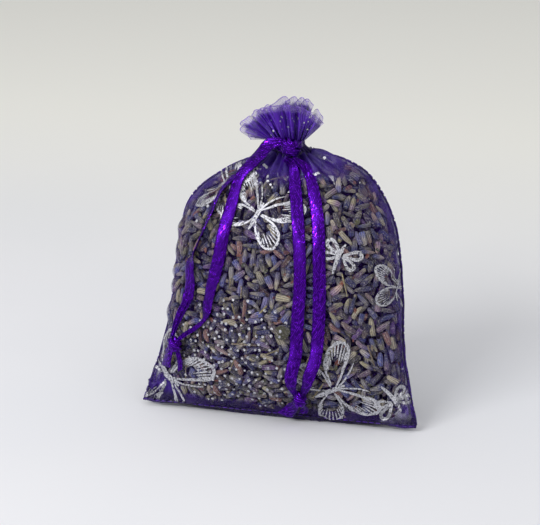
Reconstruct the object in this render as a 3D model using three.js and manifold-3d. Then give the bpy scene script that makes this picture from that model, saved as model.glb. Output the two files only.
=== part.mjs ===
// Lavender sachet: a sheer drawstring bag packed with dried lavender buds, drawn in and tied at the neck.
// Millimetres, +Z up. The front faces -Y. The origin lies in the flat foot that the filled bag stands on.

import * as THREE from "three";
import { mergeVertices } from "three/addons/utils/BufferGeometryUtils.js";
import Module from "manifold-3d";

// Outline of the filled bag, seen from the front
const BOTTOM_WIDTH = 90; // bottom seam, corner to corner
const EAR_WIDTH = 79; // where the pointed corners run out into the body
const EAR_HEIGHT = 23;
const WAIST_WIDTH = 74.5;
const WAIST_HEIGHT = 44;
const SHOULDER_WIDTH = 66.5;
const SHOULDER_DROP = 19; // below the neck
const LEFT_SHOULDER_WIDTH = 68; // the left shoulder is squarer, because the fill has sunk there
const LEFT_SHOULDER_DROP = 18;
const DRAW_WIDTH = 47; // where the cloth turns in towards the neck
const DRAW_DROP = 5; // below the neck
const LEFT_DRAW_WIDTH = 45;
const LEFT_DRAW_DROP = 7.5;
const NECK_HEIGHT = 84;
const NECK_RADIUS = 6.5;

// Outline of the filled bag, seen from the side: distances ahead of and behind the origin
const SEAM_AHEAD = 11; // bottom seam
const SEAM_LIFT = 2.2; // bottom seam above the floor
const BELLY_AHEAD = 17;
const BELLY_HEIGHT = 15;
const WAIST_AHEAD = 15.5;
const SHOULDER_AHEAD = 9.5;
const RUMP_BEHIND = 20.5;
const RUMP_HEIGHT = 27;
const SHOULDER_BEHIND = 17.5;
const NECK_BEHIND = 8; // neck axis
const FOOT_AHEAD = 5; // the two ends of the stretch of cloth that the floor presses flat
const FOOT_BEHIND = 10;
const FOOT_SAG = 6; // how far that stretch would hang below the floor by itself

// Cloth and its seams
const CLOTH = 0.5; // wall of a panel, in the seam and out of it
const CLEARANCE = 0.3; // between pieces that touch
const SEAM_WIDTH = 1.8; // turned-in seam, four layers thick
const SEAM_THICKNESS = 1.2;

// Lavender
const FILL_INSET = 2.6; // from the cloth to the packed core
const FILL_SHARE = 0.38; // most of the bag's thickness that the inset takes, near the seams
const FILL_SIDE_INSET = 3;
const FILL_FOOT = 0.1; // the share of the panels' length where the fill starts and ends
const FILL_TOP = 0.87;
const FILL_SIDE_ANGLE = 1.24; // how far round towards the side seams the fill reaches, in radians
const BUD_LENGTH = 6;
const BUD_RADIUS = 1.15;
const BUD_SINK = 0.45; // a bud's middle line below the surface of the packed core
const BUDS_PER_FACE = 58;

// Neck, from the middle outwards
const GATHER_RADIUS = 3.4; // cloth bunched up inside the drawstrings
const RIBBON_WIDTH = 4;
const RIBBON_THICKNESS = 0.4;
const FOLDED_WIDTH = 2.2; // a ribbon doubles over inside the casing
const FOLDED_THICKNESS = 0.8;
const CASING_WALL = 0.7;
const CASING_MARGIN = 0.6; // casing above and below the ribbons
const FLUTE_DEPTH = 0.45;
const FLUTES = 14;
const SLOT_ANGLE = 25; // half the slot in the casing that a ribbon leaves by, in degrees

// Header ruffle above the neck: a fan that is shallow from front to back and leans to the left
const FAN_LEFT = 172; // directions of its two ends, in degrees from the viewer's right
const FAN_RIGHT = 26;
const FAN_LEFT_REACH = 14.5; // of its rim from the middle of its foot
const FAN_TOP_REACH = 10.3;
const FAN_RIGHT_REACH = 12.5;
const FAN_DEPTH = 5.4; // of its rim to the front and back
const RUFFLE_FOOT_RADIUS = 5.6;
const RUFFLE_FOOT_DEPTH = 4.6;
const RUFFLE_WALL = 0.9; // measured from front to back
const PLEATS = 7; // in each half
const PLEAT_FOOT_DEPTH = 0.6;
const PLEAT_RIM_DEPTH = 2.2;
const RUFFLE_SPLIT = 0.25; // half the gap between the halves at the side seams

// Knots: half sizes, and half the thickness of the turn that wraps a knot
const NECK_KNOT = new THREE.Vector3(3.3, 2, 2.5);
const END_KNOT = new THREE.Vector3(2.3, 1.5, 2.9);
const KNOT_BAND = 0.7;

// Routes of the loose ribbons down the front of the bag, from the neck knot to the end knot: X, Z, and any
// extra height above the cloth. The last stop of a strand and the first of a tail lie inside the end knot.
const ROUTES = {
  left_ribbon_inner: [
    [-14.3, 75.9, 0.6], [-15.9, 68.2], [-17.3, 60.2], [-18.3, 51.9], [-20.3, 43.5],
    [-21.3, 38], [-22.4, 32.8], [-25.4, 29.6], [-29, 27, 0.6], [-31, 24.4, 1.5],
  ],
  left_ribbon_outer: [
    [-18.6, 74.4], [-20.6, 71], [-22.9, 64.6], [-25.8, 56.1], [-28.4, 48.7], [-28, 43], [-28.8, 38.2],
    [-31.6, 32.6], [-32.8, 28, 0.7], [-32.8, 24.4, 1.5],
  ],
  right_ribbon_inner: [
    [1.4, 81, 0.4], [4.1, 74.3], [6.4, 64.8], [8, 55.2], [8.6, 45], [8.4, 34.7], [8.2, 23.8], [7.4, 17],
    [7.6, 14.2, 0.8], [8.3, 12, 1.5],
  ],
  right_ribbon_outer: [
    [7.4, 79.4, 0.2], [9.9, 74], [12.6, 65], [13.9, 55.4], [14.7, 45.2], [14.9, 35], [14.4, 24.1], [12, 17],
    [11, 14.2, 0.8], [10.3, 12, 1.5],
  ],
  left_tail_inner: [[-31.2, 22.2, 1.5], [-30.8, 18.4, 0.6], [-31.2, 13.4]],
  left_tail_outer: [[-33.2, 22.2, 1.5], [-34.6, 18.6, 0.8], [-36, 14]],
  right_tail_inner: [[8.2, 10, 1.5], [6, 7.2, 1], [2.8, 4.6, 1.8]],
  right_tail_outer: [[10.1, 9.8, 1.7], [10, 6.8, 1.2], [8.8, 4.2, 2]],
};
// Where a strand leaves the neck knot: the stops above its route, measured from the middle of the knot.
const LEAVING = {
  left_ribbon_inner: [[-4.8, -0.6, 0.6], [-7.2, -0.5, -2.2], [-10.8, 0.9, -6]],
  left_ribbon_outer: [],
  right_ribbon_inner: [[0.2, -0.4, -3.6]],
  right_ribbon_outer: [[2.6, -0.3, -3.3]],
};
const LEFT_KNOT_AT = [-32, 23.2];
const RIGHT_KNOT_AT = [9.2, 11];
const BUNCHED = 0.36; // share of a ribbon's width where a knot grips it
const BUNCHED_LENGTH = 4.5;

const wasm = await Module();
wasm.setup();

const { lerp, smoothstep } = THREE.MathUtils;
const vec = (x, y, z) => new THREE.Vector3(x, y, z);

// Materials
const sheer = { transparent: true, opacity: 0.5 };
const cloth = new THREE.MeshStandardMaterial({ color: 0x4a1f8c, roughness: 0.45, ...sheer });
const seamCloth = new THREE.MeshStandardMaterial({ color: 0x341070, roughness: 0.5 });
const satin = new THREE.MeshStandardMaterial({ color: 0x4d10b4, roughness: 0.3 });
const lavender = new THREE.MeshStandardMaterial({ color: 0x5c586e, roughness: 0.85 });

// Solids

// A closed geometry from points and triangles, turned so that its faces point outwards.
function closedGeometry(points, triangles) {
  let volume = 0;
  for (let i = 0; i < triangles.length; i += 3) {
    const [a, b, c] = [0, 1, 2].map((k) => points[triangles[i + k]]);
    volume += a.dot(vec().crossVectors(b, c));
  }
  if (volume < 0) triangles.reverse();
  return new THREE.BufferGeometry().setFromPoints(points).setIndex(triangles);
}

// The closed solid between two grids of points. Each face gives a point for two shares from 0 to 1.
function sheetSolid(columns, rows, upperFace, lowerFace) {
  const points = [];
  for (const face of [upperFace, lowerFace])
    for (let j = 0; j <= rows; j++)
      for (let i = 0; i <= columns; i++) points.push(face(i / columns, j / rows));
  const at = (layer, i, j) => (layer * (rows + 1) + j) * (columns + 1) + i;
  const triangles = [];
  const quad = (a, b, c, d) => triangles.push(a, b, c, a, c, d);
  for (let j = 0; j < rows; j++)
    for (let i = 0; i < columns; i++) {
      quad(at(0, i, j), at(0, i + 1, j), at(0, i + 1, j + 1), at(0, i, j + 1));
      quad(at(1, i, j + 1), at(1, i + 1, j + 1), at(1, i + 1, j), at(1, i, j));
    }
  for (let i = 0; i < columns; i++) {
    quad(at(1, i, 0), at(1, i + 1, 0), at(0, i + 1, 0), at(0, i, 0));
    quad(at(0, i, rows), at(0, i + 1, rows), at(1, i + 1, rows), at(1, i, rows));
  }
  for (let j = 0; j < rows; j++) {
    quad(at(0, 0, j), at(0, 0, j + 1), at(1, 0, j + 1), at(1, 0, j));
    quad(at(1, columns, j), at(1, columns, j + 1), at(0, columns, j + 1), at(0, columns, j));
  }
  return closedGeometry(points, triangles);
}

// A flat strip that runs through stations, each with a centre, unit vectors across the strip and out of its
// face, and a share of the full width where the strip is bunched.
function stripSolid(stations, width, thickness) {
  const face = (side) => (across, along) => {
    const s = stations[Math.round(along * (stations.length - 1))];
    return s.centre.clone()
      .addScaledVector(s.across, (across - 0.5) * width * (s.breadth ?? 1))
      .addScaledVector(s.out, (side * thickness) / 2);
  };
  return sheetSolid(1, stations.length - 1, face(1), face(-1));
}

// A three.js geometry as a manifold-3d solid, and back again.
function toManifold(geometry) {
  const bare = geometry.clone();
  bare.deleteAttribute("normal");
  bare.deleteAttribute("uv");
  const merged = mergeVertices(bare);
  return new wasm.Manifold(
    new wasm.Mesh({
      numProp: 3,
      vertProperties: new Float32Array(merged.attributes.position.array),
      triVerts: new Uint32Array(merged.index.array),
    }),
  );
}
function fromManifold(solid) {
  const mesh = solid.getMesh();
  return new THREE.BufferGeometry()
    .setAttribute("position", new THREE.BufferAttribute(mesh.vertProperties, 3))
    .setIndex(new THREE.BufferAttribute(mesh.triVerts, 1));
}

// The bag's surface

// How far behind the origin the side seam lies at a height: it leans back quickly, then more slowly.
const SEAM_LEAN_POWER = 1.6;
function sideSeamY(z) {
  const share = Math.pow(1 - z / NECK_HEIGHT, SEAM_LEAN_POWER);
  return lerp(NECK_BEHIND, -SEAM_AHEAD, share);
}

// A side seam, from the bottom to the neck. Its shoulder and its turn to the neck differ from side to side.
function seamCurve(shoulderWidth, shoulderDrop, drawWidth, drawDrop) {
  const stops = [
    [BOTTOM_WIDTH, SEAM_LIFT],
    [EAR_WIDTH, EAR_HEIGHT],
    [WAIST_WIDTH, WAIST_HEIGHT],
    [shoulderWidth, NECK_HEIGHT - shoulderDrop],
    [drawWidth, NECK_HEIGHT - drawDrop],
    [2 * NECK_RADIUS, NECK_HEIGHT],
  ];
  return new THREE.CatmullRomCurve3(stops.map(([width, z]) => vec(width / 2, sideSeamY(z), z)));
}
const rightSeam = seamCurve(SHOULDER_WIDTH, SHOULDER_DROP, DRAW_WIDTH, DRAW_DROP);
const leftSeam = seamCurve(LEFT_SHOULDER_WIDTH, LEFT_SHOULDER_DROP, LEFT_DRAW_WIDTH, LEFT_DRAW_DROP);
const seamOn = (side) => (side < 0 ? leftSeam : rightSeam);

// Each panel's middle line, from the bottom seam to the neck.
const frontMiddle = new THREE.CatmullRomCurve3([
  vec(0, -SEAM_AHEAD, SEAM_LIFT),
  vec(0, -BELLY_AHEAD, BELLY_HEIGHT),
  vec(0, -WAIST_AHEAD, WAIST_HEIGHT),
  vec(0, -SHOULDER_AHEAD, NECK_HEIGHT - SHOULDER_DROP),
  vec(0, NECK_BEHIND - NECK_RADIUS, NECK_HEIGHT),
]);
const backMiddle = new THREE.CatmullRomCurve3([
  vec(0, -SEAM_AHEAD, SEAM_LIFT),
  vec(0, -FOOT_AHEAD, -FOOT_SAG),
  vec(0, FOOT_BEHIND, -FOOT_SAG),
  vec(0, RUMP_BEHIND, RUMP_HEIGHT),
  vec(0, SHOULDER_BEHIND, NECK_HEIGHT - SHOULDER_DROP),
  vec(0, NECK_BEHIND + NECK_RADIUS, NECK_HEIGHT),
]);

// A point of a panel: turn runs from one side seam to the other in radians, up from the bottom seam to the
// neck.
const CORNER_FLATNESS = 0.5; // the corners lie flatter than the round neck
const BOXINESS = 0.35; // the filled part is fuller at its sides than an ellipse
const SEAM_PARTING = CLOTH + CLEARANCE; // of each panel's outer face from the middle of the side seam
function panelPoint(middle, turn, up) {
  const side = seamOn(turn).getPointAt(up);
  const mid = middle.getPointAt(up);
  const filled = smoothstep(up, 0.04, 0.22) * (1 - smoothstep(up, 0.72, 0.97));
  const power = 1 + CORNER_FLATNESS * Math.pow(1 - up, 4) - BOXINESS * filled;
  const fullness = Math.pow(Math.max(0, Math.cos(turn)), power);
  const gap = (middle === frontMiddle ? -1 : 1) * SEAM_PARTING;
  const y = lerp(side.y + gap, mid.y, fullness);
  const z = lerp(side.z, mid.z, fullness);
  return vec(side.x * Math.sin(turn), y, Math.max(0, z));
}

// The panel's unit normal, out of the bag.
const PROBE = 0.004;
function panelNormal(middle, turn, up) {
  const low = Math.max(0, up - PROBE);
  const high = Math.min(1, up + PROBE);
  const along = panelPoint(middle, turn, high).sub(panelPoint(middle, turn, low));
  const across = panelPoint(middle, turn + PROBE, up).sub(panelPoint(middle, turn - PROBE, up));
  const normal = vec().crossVectors(across, along).normalize();
  return middle === frontMiddle ? normal : normal.negate();
}

const PANEL_COLUMNS = 16;
const PANEL_ROWS = 14;
const EDGE_TURN = 0.996 * (Math.PI / 2); // panels stop just short of the side seam's line
const PANEL_FOOT = 0.012; // and just short of the bottom seam's

function panel(middle) {
  const turnAt = (across) => lerp(-EDGE_TURN, EDGE_TURN, across);
  const face = (depth) => (across, along) => {
    const turn = turnAt(across);
    const up = lerp(PANEL_FOOT, 1, along);
    return panelPoint(middle, turn, up).addScaledVector(panelNormal(middle, turn, up), -depth);
  };
  return sheetSolid(PANEL_COLUMNS, PANEL_ROWS, face(0), face(CLOTH));
}

// Seams: a strip outside the panels' edges

const SEAM_STEPS = 16;
const seamOffset = SEAM_WIDTH / 2 + CLEARANCE;

function sideSeamStrip(side) {
  const seam = seamOn(side);
  const margin = (SEAM_THICKNESS + 2 * CLEARANCE) / seam.getLength();
  const stations = [];
  for (let i = 0; i <= SEAM_STEPS; i++) {
    const up = lerp(margin, 1 - 2 * margin, i / SEAM_STEPS);
    const tangent = seam.getTangentAt(up);
    const across = vec(tangent.z, 0, -tangent.x).normalize();
    const out = vec().crossVectors(tangent, across).normalize();
    const centre = seam.getPointAt(up).addScaledVector(across, seamOffset);
    for (const v of [centre, across, out]) v.x *= side;
    stations.push({ centre, across, out });
  }
  return stripSolid(stations, SEAM_WIDTH, SEAM_THICKNESS);
}

function bottomSeamStrip() {
  const reach = BOTTOM_WIDTH / 2 + CLEARANCE + SEAM_WIDTH;
  const forward = vec(0, -1, 0);
  const up = vec(0, 0, 1);
  const stations = [-reach, reach].map((x) => ({
    centre: vec(x, -SEAM_AHEAD - CLEARANCE - seamOffset, SEAM_LIFT),
    across: forward,
    out: up,
  }));
  return stripSolid(stations, SEAM_WIDTH, SEAM_THICKNESS);
}

// Lavender fill: a packed core with buds standing out of it

// A point of the packed core, on the front or the back, drawn in from the cloth.
function fillPoint(middle, other, turn, up) {
  const here = panelPoint(middle, turn, up);
  const there = panelPoint(other, turn, up);
  const inwards = there.clone().sub(here);
  const inset = Math.min(FILL_INSET, FILL_SHARE * inwards.length());
  const point = here.addScaledVector(inwards.normalize(), inset);
  const sideX = seamOn(turn).getPointAt(up).x;
  point.x *= (sideX - FILL_SIDE_INSET) / sideX;
  point.z = Math.max(point.z, CLOTH + BUD_RADIUS + CLEARANCE);
  return point;
}

const FILL_COLUMNS = 10;
const FILL_ROWS = 11;

function fillCore() {
  const face = (middle, other) => (across, up) =>
    fillPoint(
      middle,
      other,
      lerp(-FILL_SIDE_ANGLE, FILL_SIDE_ANGLE, across),
      lerp(FILL_FOOT, FILL_TOP, up),
    );
  return sheetSolid(
    FILL_COLUMNS, FILL_ROWS, face(frontMiddle, backMiddle), face(backMiddle, frontMiddle),
  );
}

// One bud along Z: a tube that tapers to its stalk and draws in at its mouth.
const BUD_SIDES = 5;
const budGeometry = new THREE.LatheGeometry(
  [
    [0, -0.5],
    [0.62, -0.3],
    [1, 0.12],
    [0.72, 0.42],
    [0, 0.5],
  ].map(([radius, height]) => new THREE.Vector2(radius * BUD_RADIUS, height * BUD_LENGTH)),
  BUD_SIDES,
).rotateX(Math.PI / 2);

// Buds lie flat in the core's surface, spread evenly and turned every way by the golden ratio's multiples.
const SPREAD_ACROSS = 0.754878;
const SPREAD_UP = 0.56984;
const TURN_STEP = 2.39996;
const BUD_EDGE = 0.06; // share of the fill's height left free at its foot and top
function budSolids() {
  const solids = [];
  for (const [middle, other] of [[frontMiddle, backMiddle], [backMiddle, frontMiddle]])
    for (let i = 1; i <= BUDS_PER_FACE; i++) {
      const sine = lerp(-1, 1, (i * SPREAD_ACROSS) % 1);
      const turn = Math.asin(sine * Math.sin(FILL_SIDE_ANGLE * 0.92));
      const up = lerp(FILL_FOOT + BUD_EDGE, FILL_TOP - BUD_EDGE, (i * SPREAD_UP) % 1);
      const normal = panelNormal(middle, turn, up);
      const level = vec().crossVectors(normal, vec(1, 0, 0)).normalize();
      const lie = level.applyAxisAngle(normal, i * TURN_STEP);
      const place = new THREE.Matrix4().makeBasis(vec().crossVectors(lie, normal).negate(), normal, lie);
      place.setPosition(fillPoint(middle, other, turn, up).addScaledVector(normal, -BUD_SINK));
      solids.push(toManifold(budGeometry.clone().applyMatrix4(place)));
    }
  return solids;
}

function lavenderFill() {
  const core = toManifold(fillCore());
  return fromManifold(wasm.Manifold.union([core, ...budSolids()]));
}

// Neck: bunched cloth, the two drawstrings round it one above the other, and the casing outside them

const casingFoot = NECK_HEIGHT + CLEARANCE;
const casingHeight = 2 * FOLDED_WIDTH + CLEARANCE + 2 * CASING_MARGIN;
const casingTop = casingFoot + casingHeight;
const neckMiddle = casingFoot + casingHeight / 2;
const drawstringLevel = (FOLDED_WIDTH + CLEARANCE) / 2; // of each drawstring, from the middle of the casing
const ringRadius = GATHER_RADIUS + FLUTE_DEPTH + CLEARANCE + FOLDED_THICKNESS / 2;
const casingBore = ringRadius + FOLDED_THICKNESS / 2 + CLEARANCE;
const casingRadius = casingBore + CASING_WALL + FLUTE_DEPTH;
const innerLead = casingRadius + FLUTE_DEPTH + CLEARANCE + FOLDED_THICKNESS / 2;
const outerLead = innerLead + FOLDED_THICKNESS + CLEARANCE;

function flutedOutline(radius) {
  const outline = [];
  const steps = FLUTES * 6;
  for (let i = 0; i < steps; i++) {
    const angle = (2 * Math.PI * i) / steps;
    const r = radius + FLUTE_DEPTH * Math.cos(FLUTES * angle);
    outline.push(new THREE.Vector2(r * Math.cos(angle), r * Math.sin(angle)));
  }
  return new THREE.Shape(outline);
}

function extrudeUp(shape) {
  const options = { depth: casingHeight, bevelEnabled: false, curveSegments: 20 };
  return new THREE.ExtrudeGeometry(shape, options).translate(0, NECK_BEHIND, casingFoot);
}

function neckCasing() {
  const shape = flutedOutline(casingRadius);
  shape.holes.push(new THREE.Path().absarc(0, 0, casingBore, 0, 2 * Math.PI, true));
  let casing = toManifold(extrudeUp(shape));
  for (const side of [-1, 1]) {
    const length = 2 * casingRadius;
    const width = 2 * casingRadius * Math.sin(THREE.MathUtils.degToRad(SLOT_ANGLE));
    const slot = new THREE.BoxGeometry(length, width, FOLDED_WIDTH + 2 * CLEARANCE);
    slot.translate((side * length) / 2, NECK_BEHIND, neckMiddle + side * drawstringLevel);
    casing = casing.subtract(toManifold(slot));
  }
  return fromManifold(casing);
}

const neckGather = () => extrudeUp(flutedOutline(GATHER_RADIUS));

// A drawstring: in from the knot, through the slot at its own side, round the neck, and out of the same slot.
// Each stop is a radius and an angle in degrees from that side towards the front.
const LEAD_START = 80;
function drawstring(side) {
  const slot = (share) => lerp(ringRadius, innerLead, share);
  const stops = [LEAD_START, 66, 52, 38, 24, 11].map((angle) => [outerLead, angle]);
  stops.push([outerLead - 0.3, 3], [slot(0.97), -2], [slot(0.6), -7], [slot(0.25), -13], [ringRadius, -22]);
  for (let angle = -36; angle > -338; angle -= 15) stops.push([ringRadius, angle]);
  stops.push([ringRadius, -338], [slot(0.25), -346], [slot(0.55), -350], [slot(0.85), -350]);
  for (const angle of [-344, -332, -318, -306, -293, LEAD_START - 360]) stops.push([innerLead, angle]);
  const points = stops.map(([radius, degrees]) => {
    const angle = THREE.MathUtils.degToRad(degrees);
    const z = neckMiddle + side * drawstringLevel;
    return vec(side * radius * Math.cos(angle), NECK_BEHIND - radius * Math.sin(angle), z);
  });
  const across = vec(0, 0, 1);
  const stations = points.map((centre, i) => {
    const ahead = points[Math.min(i + 1, points.length - 1)];
    const behind = points[Math.max(i - 1, 0)];
    const out = vec().crossVectors(ahead.clone().sub(behind), across).normalize();
    return { centre, across, out };
  });
  return stripSolid(stations, FOLDED_WIDTH, FOLDED_THICKNESS);
}

const BAND_REACH = 1.2; // how far a turn stands out from the middle, to the core's half size

// A knot: a rounded core with turns of ribbon wrapped round it, each tilted in the knot's own front view.
function knotSolid(halfSizes, tilts) {
  let solid = toManifold(new THREE.SphereGeometry(1, 12, 8).scale(halfSizes.x, halfSizes.y, halfSizes.z));
  for (const tilt of tilts) {
    const tube = BAND_REACH - 1;
    const band = new THREE.TorusGeometry(1, tube, 6, 14);
    band.scale(halfSizes.x, halfSizes.y, KNOT_BAND / tube);
    solid = solid.add(toManifold(band.rotateY(tilt)));
  }
  return fromManifold(solid);
}

const casingFront = NECK_BEHIND - casingRadius - FLUTE_DEPTH;
const neckKnotAt = vec(0, casingFront - CLEARANCE - BAND_REACH * NECK_KNOT.y, neckMiddle);
const neckKnot = knotSolid(NECK_KNOT, [0.35, -0.6]).translate(neckKnotAt.x, neckKnotAt.y, neckKnotAt.z);

// What is left of a ribbon outside the knot that it runs into.
const outside = (ribbon, knot) => fromManifold(toManifold(ribbon).subtract(toManifold(knot)));

// Header ruffle: pleats that fan out above the casing, from left to right. The front faces -1, the back 1.
function ruffleHalf(facing) {
  const face = (inset) => (across, up) => {
    const middle = Math.sin(Math.PI * across);
    const direction = THREE.MathUtils.degToRad(lerp(FAN_LEFT, FAN_RIGHT, across));
    const reach = lerp(across < 0.5 ? FAN_LEFT_REACH : FAN_RIGHT_REACH, FAN_TOP_REACH, middle);
    const x = lerp(-RUFFLE_FOOT_RADIUS * Math.cos(Math.PI * across), reach * Math.cos(direction), up);
    const z = casingTop + CLEARANCE + up * reach * Math.sin(direction);
    const pleatDepth = lerp(PLEAT_FOOT_DEPTH, PLEAT_RIM_DEPTH, Math.sqrt(up));
    const pleat = (pleatDepth * (1 - Math.cos(2 * Math.PI * PLEATS * across))) / 2;
    const depth = RUFFLE_SPLIT + RUFFLE_WALL + lerp(RUFFLE_FOOT_DEPTH, FAN_DEPTH, up) * middle + pleat;
    return vec(x, NECK_BEHIND + facing * (depth - inset), z);
  };
  return sheetSolid(PLEATS * 6, 4, face(0), face(RUFFLE_WALL));
}

// Loose ribbons on the front of the bag

// The front panel's turn and up at an X and a Z. Heights above the neck count as the neck.
function frontAt(x, z) {
  let [low, high] = [0, 1];
  const turnAt = (up) => Math.asin(THREE.MathUtils.clamp(x / seamOn(x).getPointAt(up).x, -1, 1));
  for (let i = 0; i < 24; i++) {
    const up = (low + high) / 2;
    if (panelPoint(frontMiddle, turnAt(up), up).z < z) low = up;
    else high = up;
  }
  return [turnAt(low), low];
}

// A point above the front panel at an X and a Z.
function aboveFront(x, z, lift) {
  const [turn, up] = frontAt(x, z);
  return panelPoint(frontMiddle, turn, up).addScaledVector(panelNormal(frontMiddle, turn, up), lift);
}

const RIBBON_LIFT = CLEARANCE + RIBBON_THICKNESS;
const onFront = (route) => route.map(([x, z, more = 0]) => aboveFront(x, z, RIBBON_LIFT + more));

// A flat ribbon through points, bunched together near the ends that knots grip.
function ribbonAlong(points, steps, grips) {
  const curve = new THREE.CatmullRomCurve3(points);
  const length = curve.getLength();
  const stations = [];
  for (let i = 0; i <= steps; i++) {
    const share = i / steps;
    const centre = curve.getPointAt(share);
    const tangent = curve.getTangentAt(share);
    const normal = panelNormal(frontMiddle, ...frontAt(centre.x, Math.min(centre.z, NECK_HEIGHT - 1)));
    const across = vec().crossVectors(normal, tangent).normalize();
    const fromStart = grips.start ? share * length : Infinity;
    const fromEnd = grips.end ? (1 - share) * length : Infinity;
    const fromGrip = Math.min(fromStart, fromEnd);
    const breadth = lerp(BUNCHED, 1, smoothstep(fromGrip, 0, BUNCHED_LENGTH));
    stations.push({ centre, across, breadth, out: vec().crossVectors(tangent, across) });
  }
  return stripSolid(stations, RIBBON_WIDTH, RIBBON_THICKNESS);
}

function endKnot([x, z], lean, tilts) {
  const centre = aboveFront(x, z, BAND_REACH * END_KNOT.y + CLEARANCE);
  return knotSolid(END_KNOT, tilts).rotateY(lean).translate(centre.x, centre.y, centre.z);
}
const leftKnot = endKnot(LEFT_KNOT_AT, 0.2, [0.6]);
const rightKnot = endKnot(RIGHT_KNOT_AT, 0.1, [0.6]);

// Each strand starts beside the neck knot, or under its neighbour, and ends in its end knot.
const STRAND_STEPS = 26;
function strand(name, knot) {
  const leaving = LEAVING[name].map((offset) => neckKnotAt.clone().add(vec(...offset)));
  const grips = { start: leaving.length > 0, end: true };
  return outside(ribbonAlong([...leaving, ...onFront(ROUTES[name])], STRAND_STEPS, grips), knot);
}

const TAIL_STEPS = 5;
const tail = (name, knot) => outside(ribbonAlong(onFront(ROUTES[name]), TAIL_STEPS, { start: true }), knot);

// The assembly

const PIECES = [
  ["front_panel", panel(frontMiddle), cloth],
  ["back_panel", panel(backMiddle), cloth],
  ["left_side_seam", sideSeamStrip(-1), seamCloth],
  ["right_side_seam", sideSeamStrip(1), seamCloth],
  ["bottom_seam", bottomSeamStrip(), seamCloth],
  ["lavender_fill", lavenderFill(), lavender],
  ["neck_gather", neckGather(), seamCloth],
  ["neck_casing", neckCasing(), seamCloth],
  ["front_ruffle", ruffleHalf(-1), cloth],
  ["back_ruffle", ruffleHalf(1), cloth],
  ["left_drawstring", outside(drawstring(-1), neckKnot), satin],
  ["right_drawstring", outside(drawstring(1), neckKnot), satin],
  ["neck_knot", neckKnot, satin],
  ["left_ribbon_inner", strand("left_ribbon_inner", leftKnot), satin],
  ["left_ribbon_outer", strand("left_ribbon_outer", leftKnot), satin],
  ["left_end_knot", leftKnot, satin],
  ["left_tail_inner", tail("left_tail_inner", leftKnot), satin],
  ["left_tail_outer", tail("left_tail_outer", leftKnot), satin],
  ["right_ribbon_inner", strand("right_ribbon_inner", rightKnot), satin],
  ["right_ribbon_outer", strand("right_ribbon_outer", rightKnot), satin],
  ["right_end_knot", rightKnot, satin],
  ["right_tail_inner", tail("right_tail_inner", rightKnot), satin],
  ["right_tail_outer", tail("right_tail_outer", rightKnot), satin],
];

const sachet = new THREE.Group();
sachet.name = "lavender_sachet";
for (const [name, geometry, material] of PIECES) {
  const mesh = new THREE.Mesh(geometry, material.clone());
  mesh.name = name;
  sachet.add(mesh);
}

export default sachet;
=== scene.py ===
# %% [markdown]
# # A lavender sachet
#
# The sachet is a small bag of sheer purple organza, packed with dried lavender buds. A satin ribbon runs
# through a casing round the neck, draws it shut under a pleated ruffle, and hangs down the front with its
# ends knotted. The solids of the frame say where everything is. Here each of them is dressed: cloth as
# thin sheets that can be seen through, ribbon as flat strips, and the fill as loose buds under the cloth.

import bisect
import math
import random

import bmesh
import bpy
from mathutils import Matrix, Vector, noise
from mathutils.bvhtree import BVHTree


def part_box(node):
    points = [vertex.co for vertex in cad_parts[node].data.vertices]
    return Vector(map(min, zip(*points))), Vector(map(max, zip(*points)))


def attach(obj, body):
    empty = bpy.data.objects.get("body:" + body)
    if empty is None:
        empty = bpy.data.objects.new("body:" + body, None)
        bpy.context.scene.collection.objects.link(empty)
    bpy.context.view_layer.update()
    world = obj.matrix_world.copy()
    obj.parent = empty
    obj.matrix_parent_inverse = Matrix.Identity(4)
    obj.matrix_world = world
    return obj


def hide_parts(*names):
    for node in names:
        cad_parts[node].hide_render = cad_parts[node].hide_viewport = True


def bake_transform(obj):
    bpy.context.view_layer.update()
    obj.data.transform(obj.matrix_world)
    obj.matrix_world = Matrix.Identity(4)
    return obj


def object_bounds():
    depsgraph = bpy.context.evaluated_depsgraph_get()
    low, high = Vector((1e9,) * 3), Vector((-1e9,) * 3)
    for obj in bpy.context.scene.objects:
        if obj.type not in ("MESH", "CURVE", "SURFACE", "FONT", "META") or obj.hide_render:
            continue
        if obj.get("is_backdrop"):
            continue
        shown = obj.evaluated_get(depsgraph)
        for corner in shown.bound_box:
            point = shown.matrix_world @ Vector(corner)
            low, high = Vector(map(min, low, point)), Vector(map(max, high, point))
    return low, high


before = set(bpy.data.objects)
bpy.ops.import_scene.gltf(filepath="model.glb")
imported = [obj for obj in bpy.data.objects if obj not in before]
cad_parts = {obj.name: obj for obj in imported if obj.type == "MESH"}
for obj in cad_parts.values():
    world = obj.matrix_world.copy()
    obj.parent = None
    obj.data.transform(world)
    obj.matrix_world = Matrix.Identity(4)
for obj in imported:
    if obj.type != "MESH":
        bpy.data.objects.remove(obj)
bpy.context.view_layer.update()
MM = 0.001

# %% [markdown]
# ## Camera, floor and light
#
# The camera stands a little to the right of the front and looks down on the bag. A long lens far away
# would flatten the bag, so the distance matters as much as the angle. The floor is plain and pale, and so
# wide that it fills the picture. Most of the light is soft and comes from all round, as in a bright room
# with a pale ceiling. One large lamp above the front left gives the satin its streaks.

# %% Camera
LOOK_AT = Vector((-8.34, 11.62, 45.27)) * MM
CAMERA_AZIMUTH = 15.52
CAMERA_ELEVATION = 16.52
CAMERA_DISTANCE = 0.5


def direction(azimuth, elevation):
    """The way from the bag to an azimuth right of the front and an elevation, in degrees."""
    turn = math.radians(azimuth)
    rise = math.radians(elevation)
    level = math.cos(rise)
    return Vector((level * math.sin(turn), -level * math.cos(turn), math.sin(rise)))


def add_object(name, data):
    """A new object of the scene, at the origin."""
    thing = bpy.data.objects.new(name, data)
    bpy.context.scene.collection.objects.link(thing)
    return thing


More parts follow.
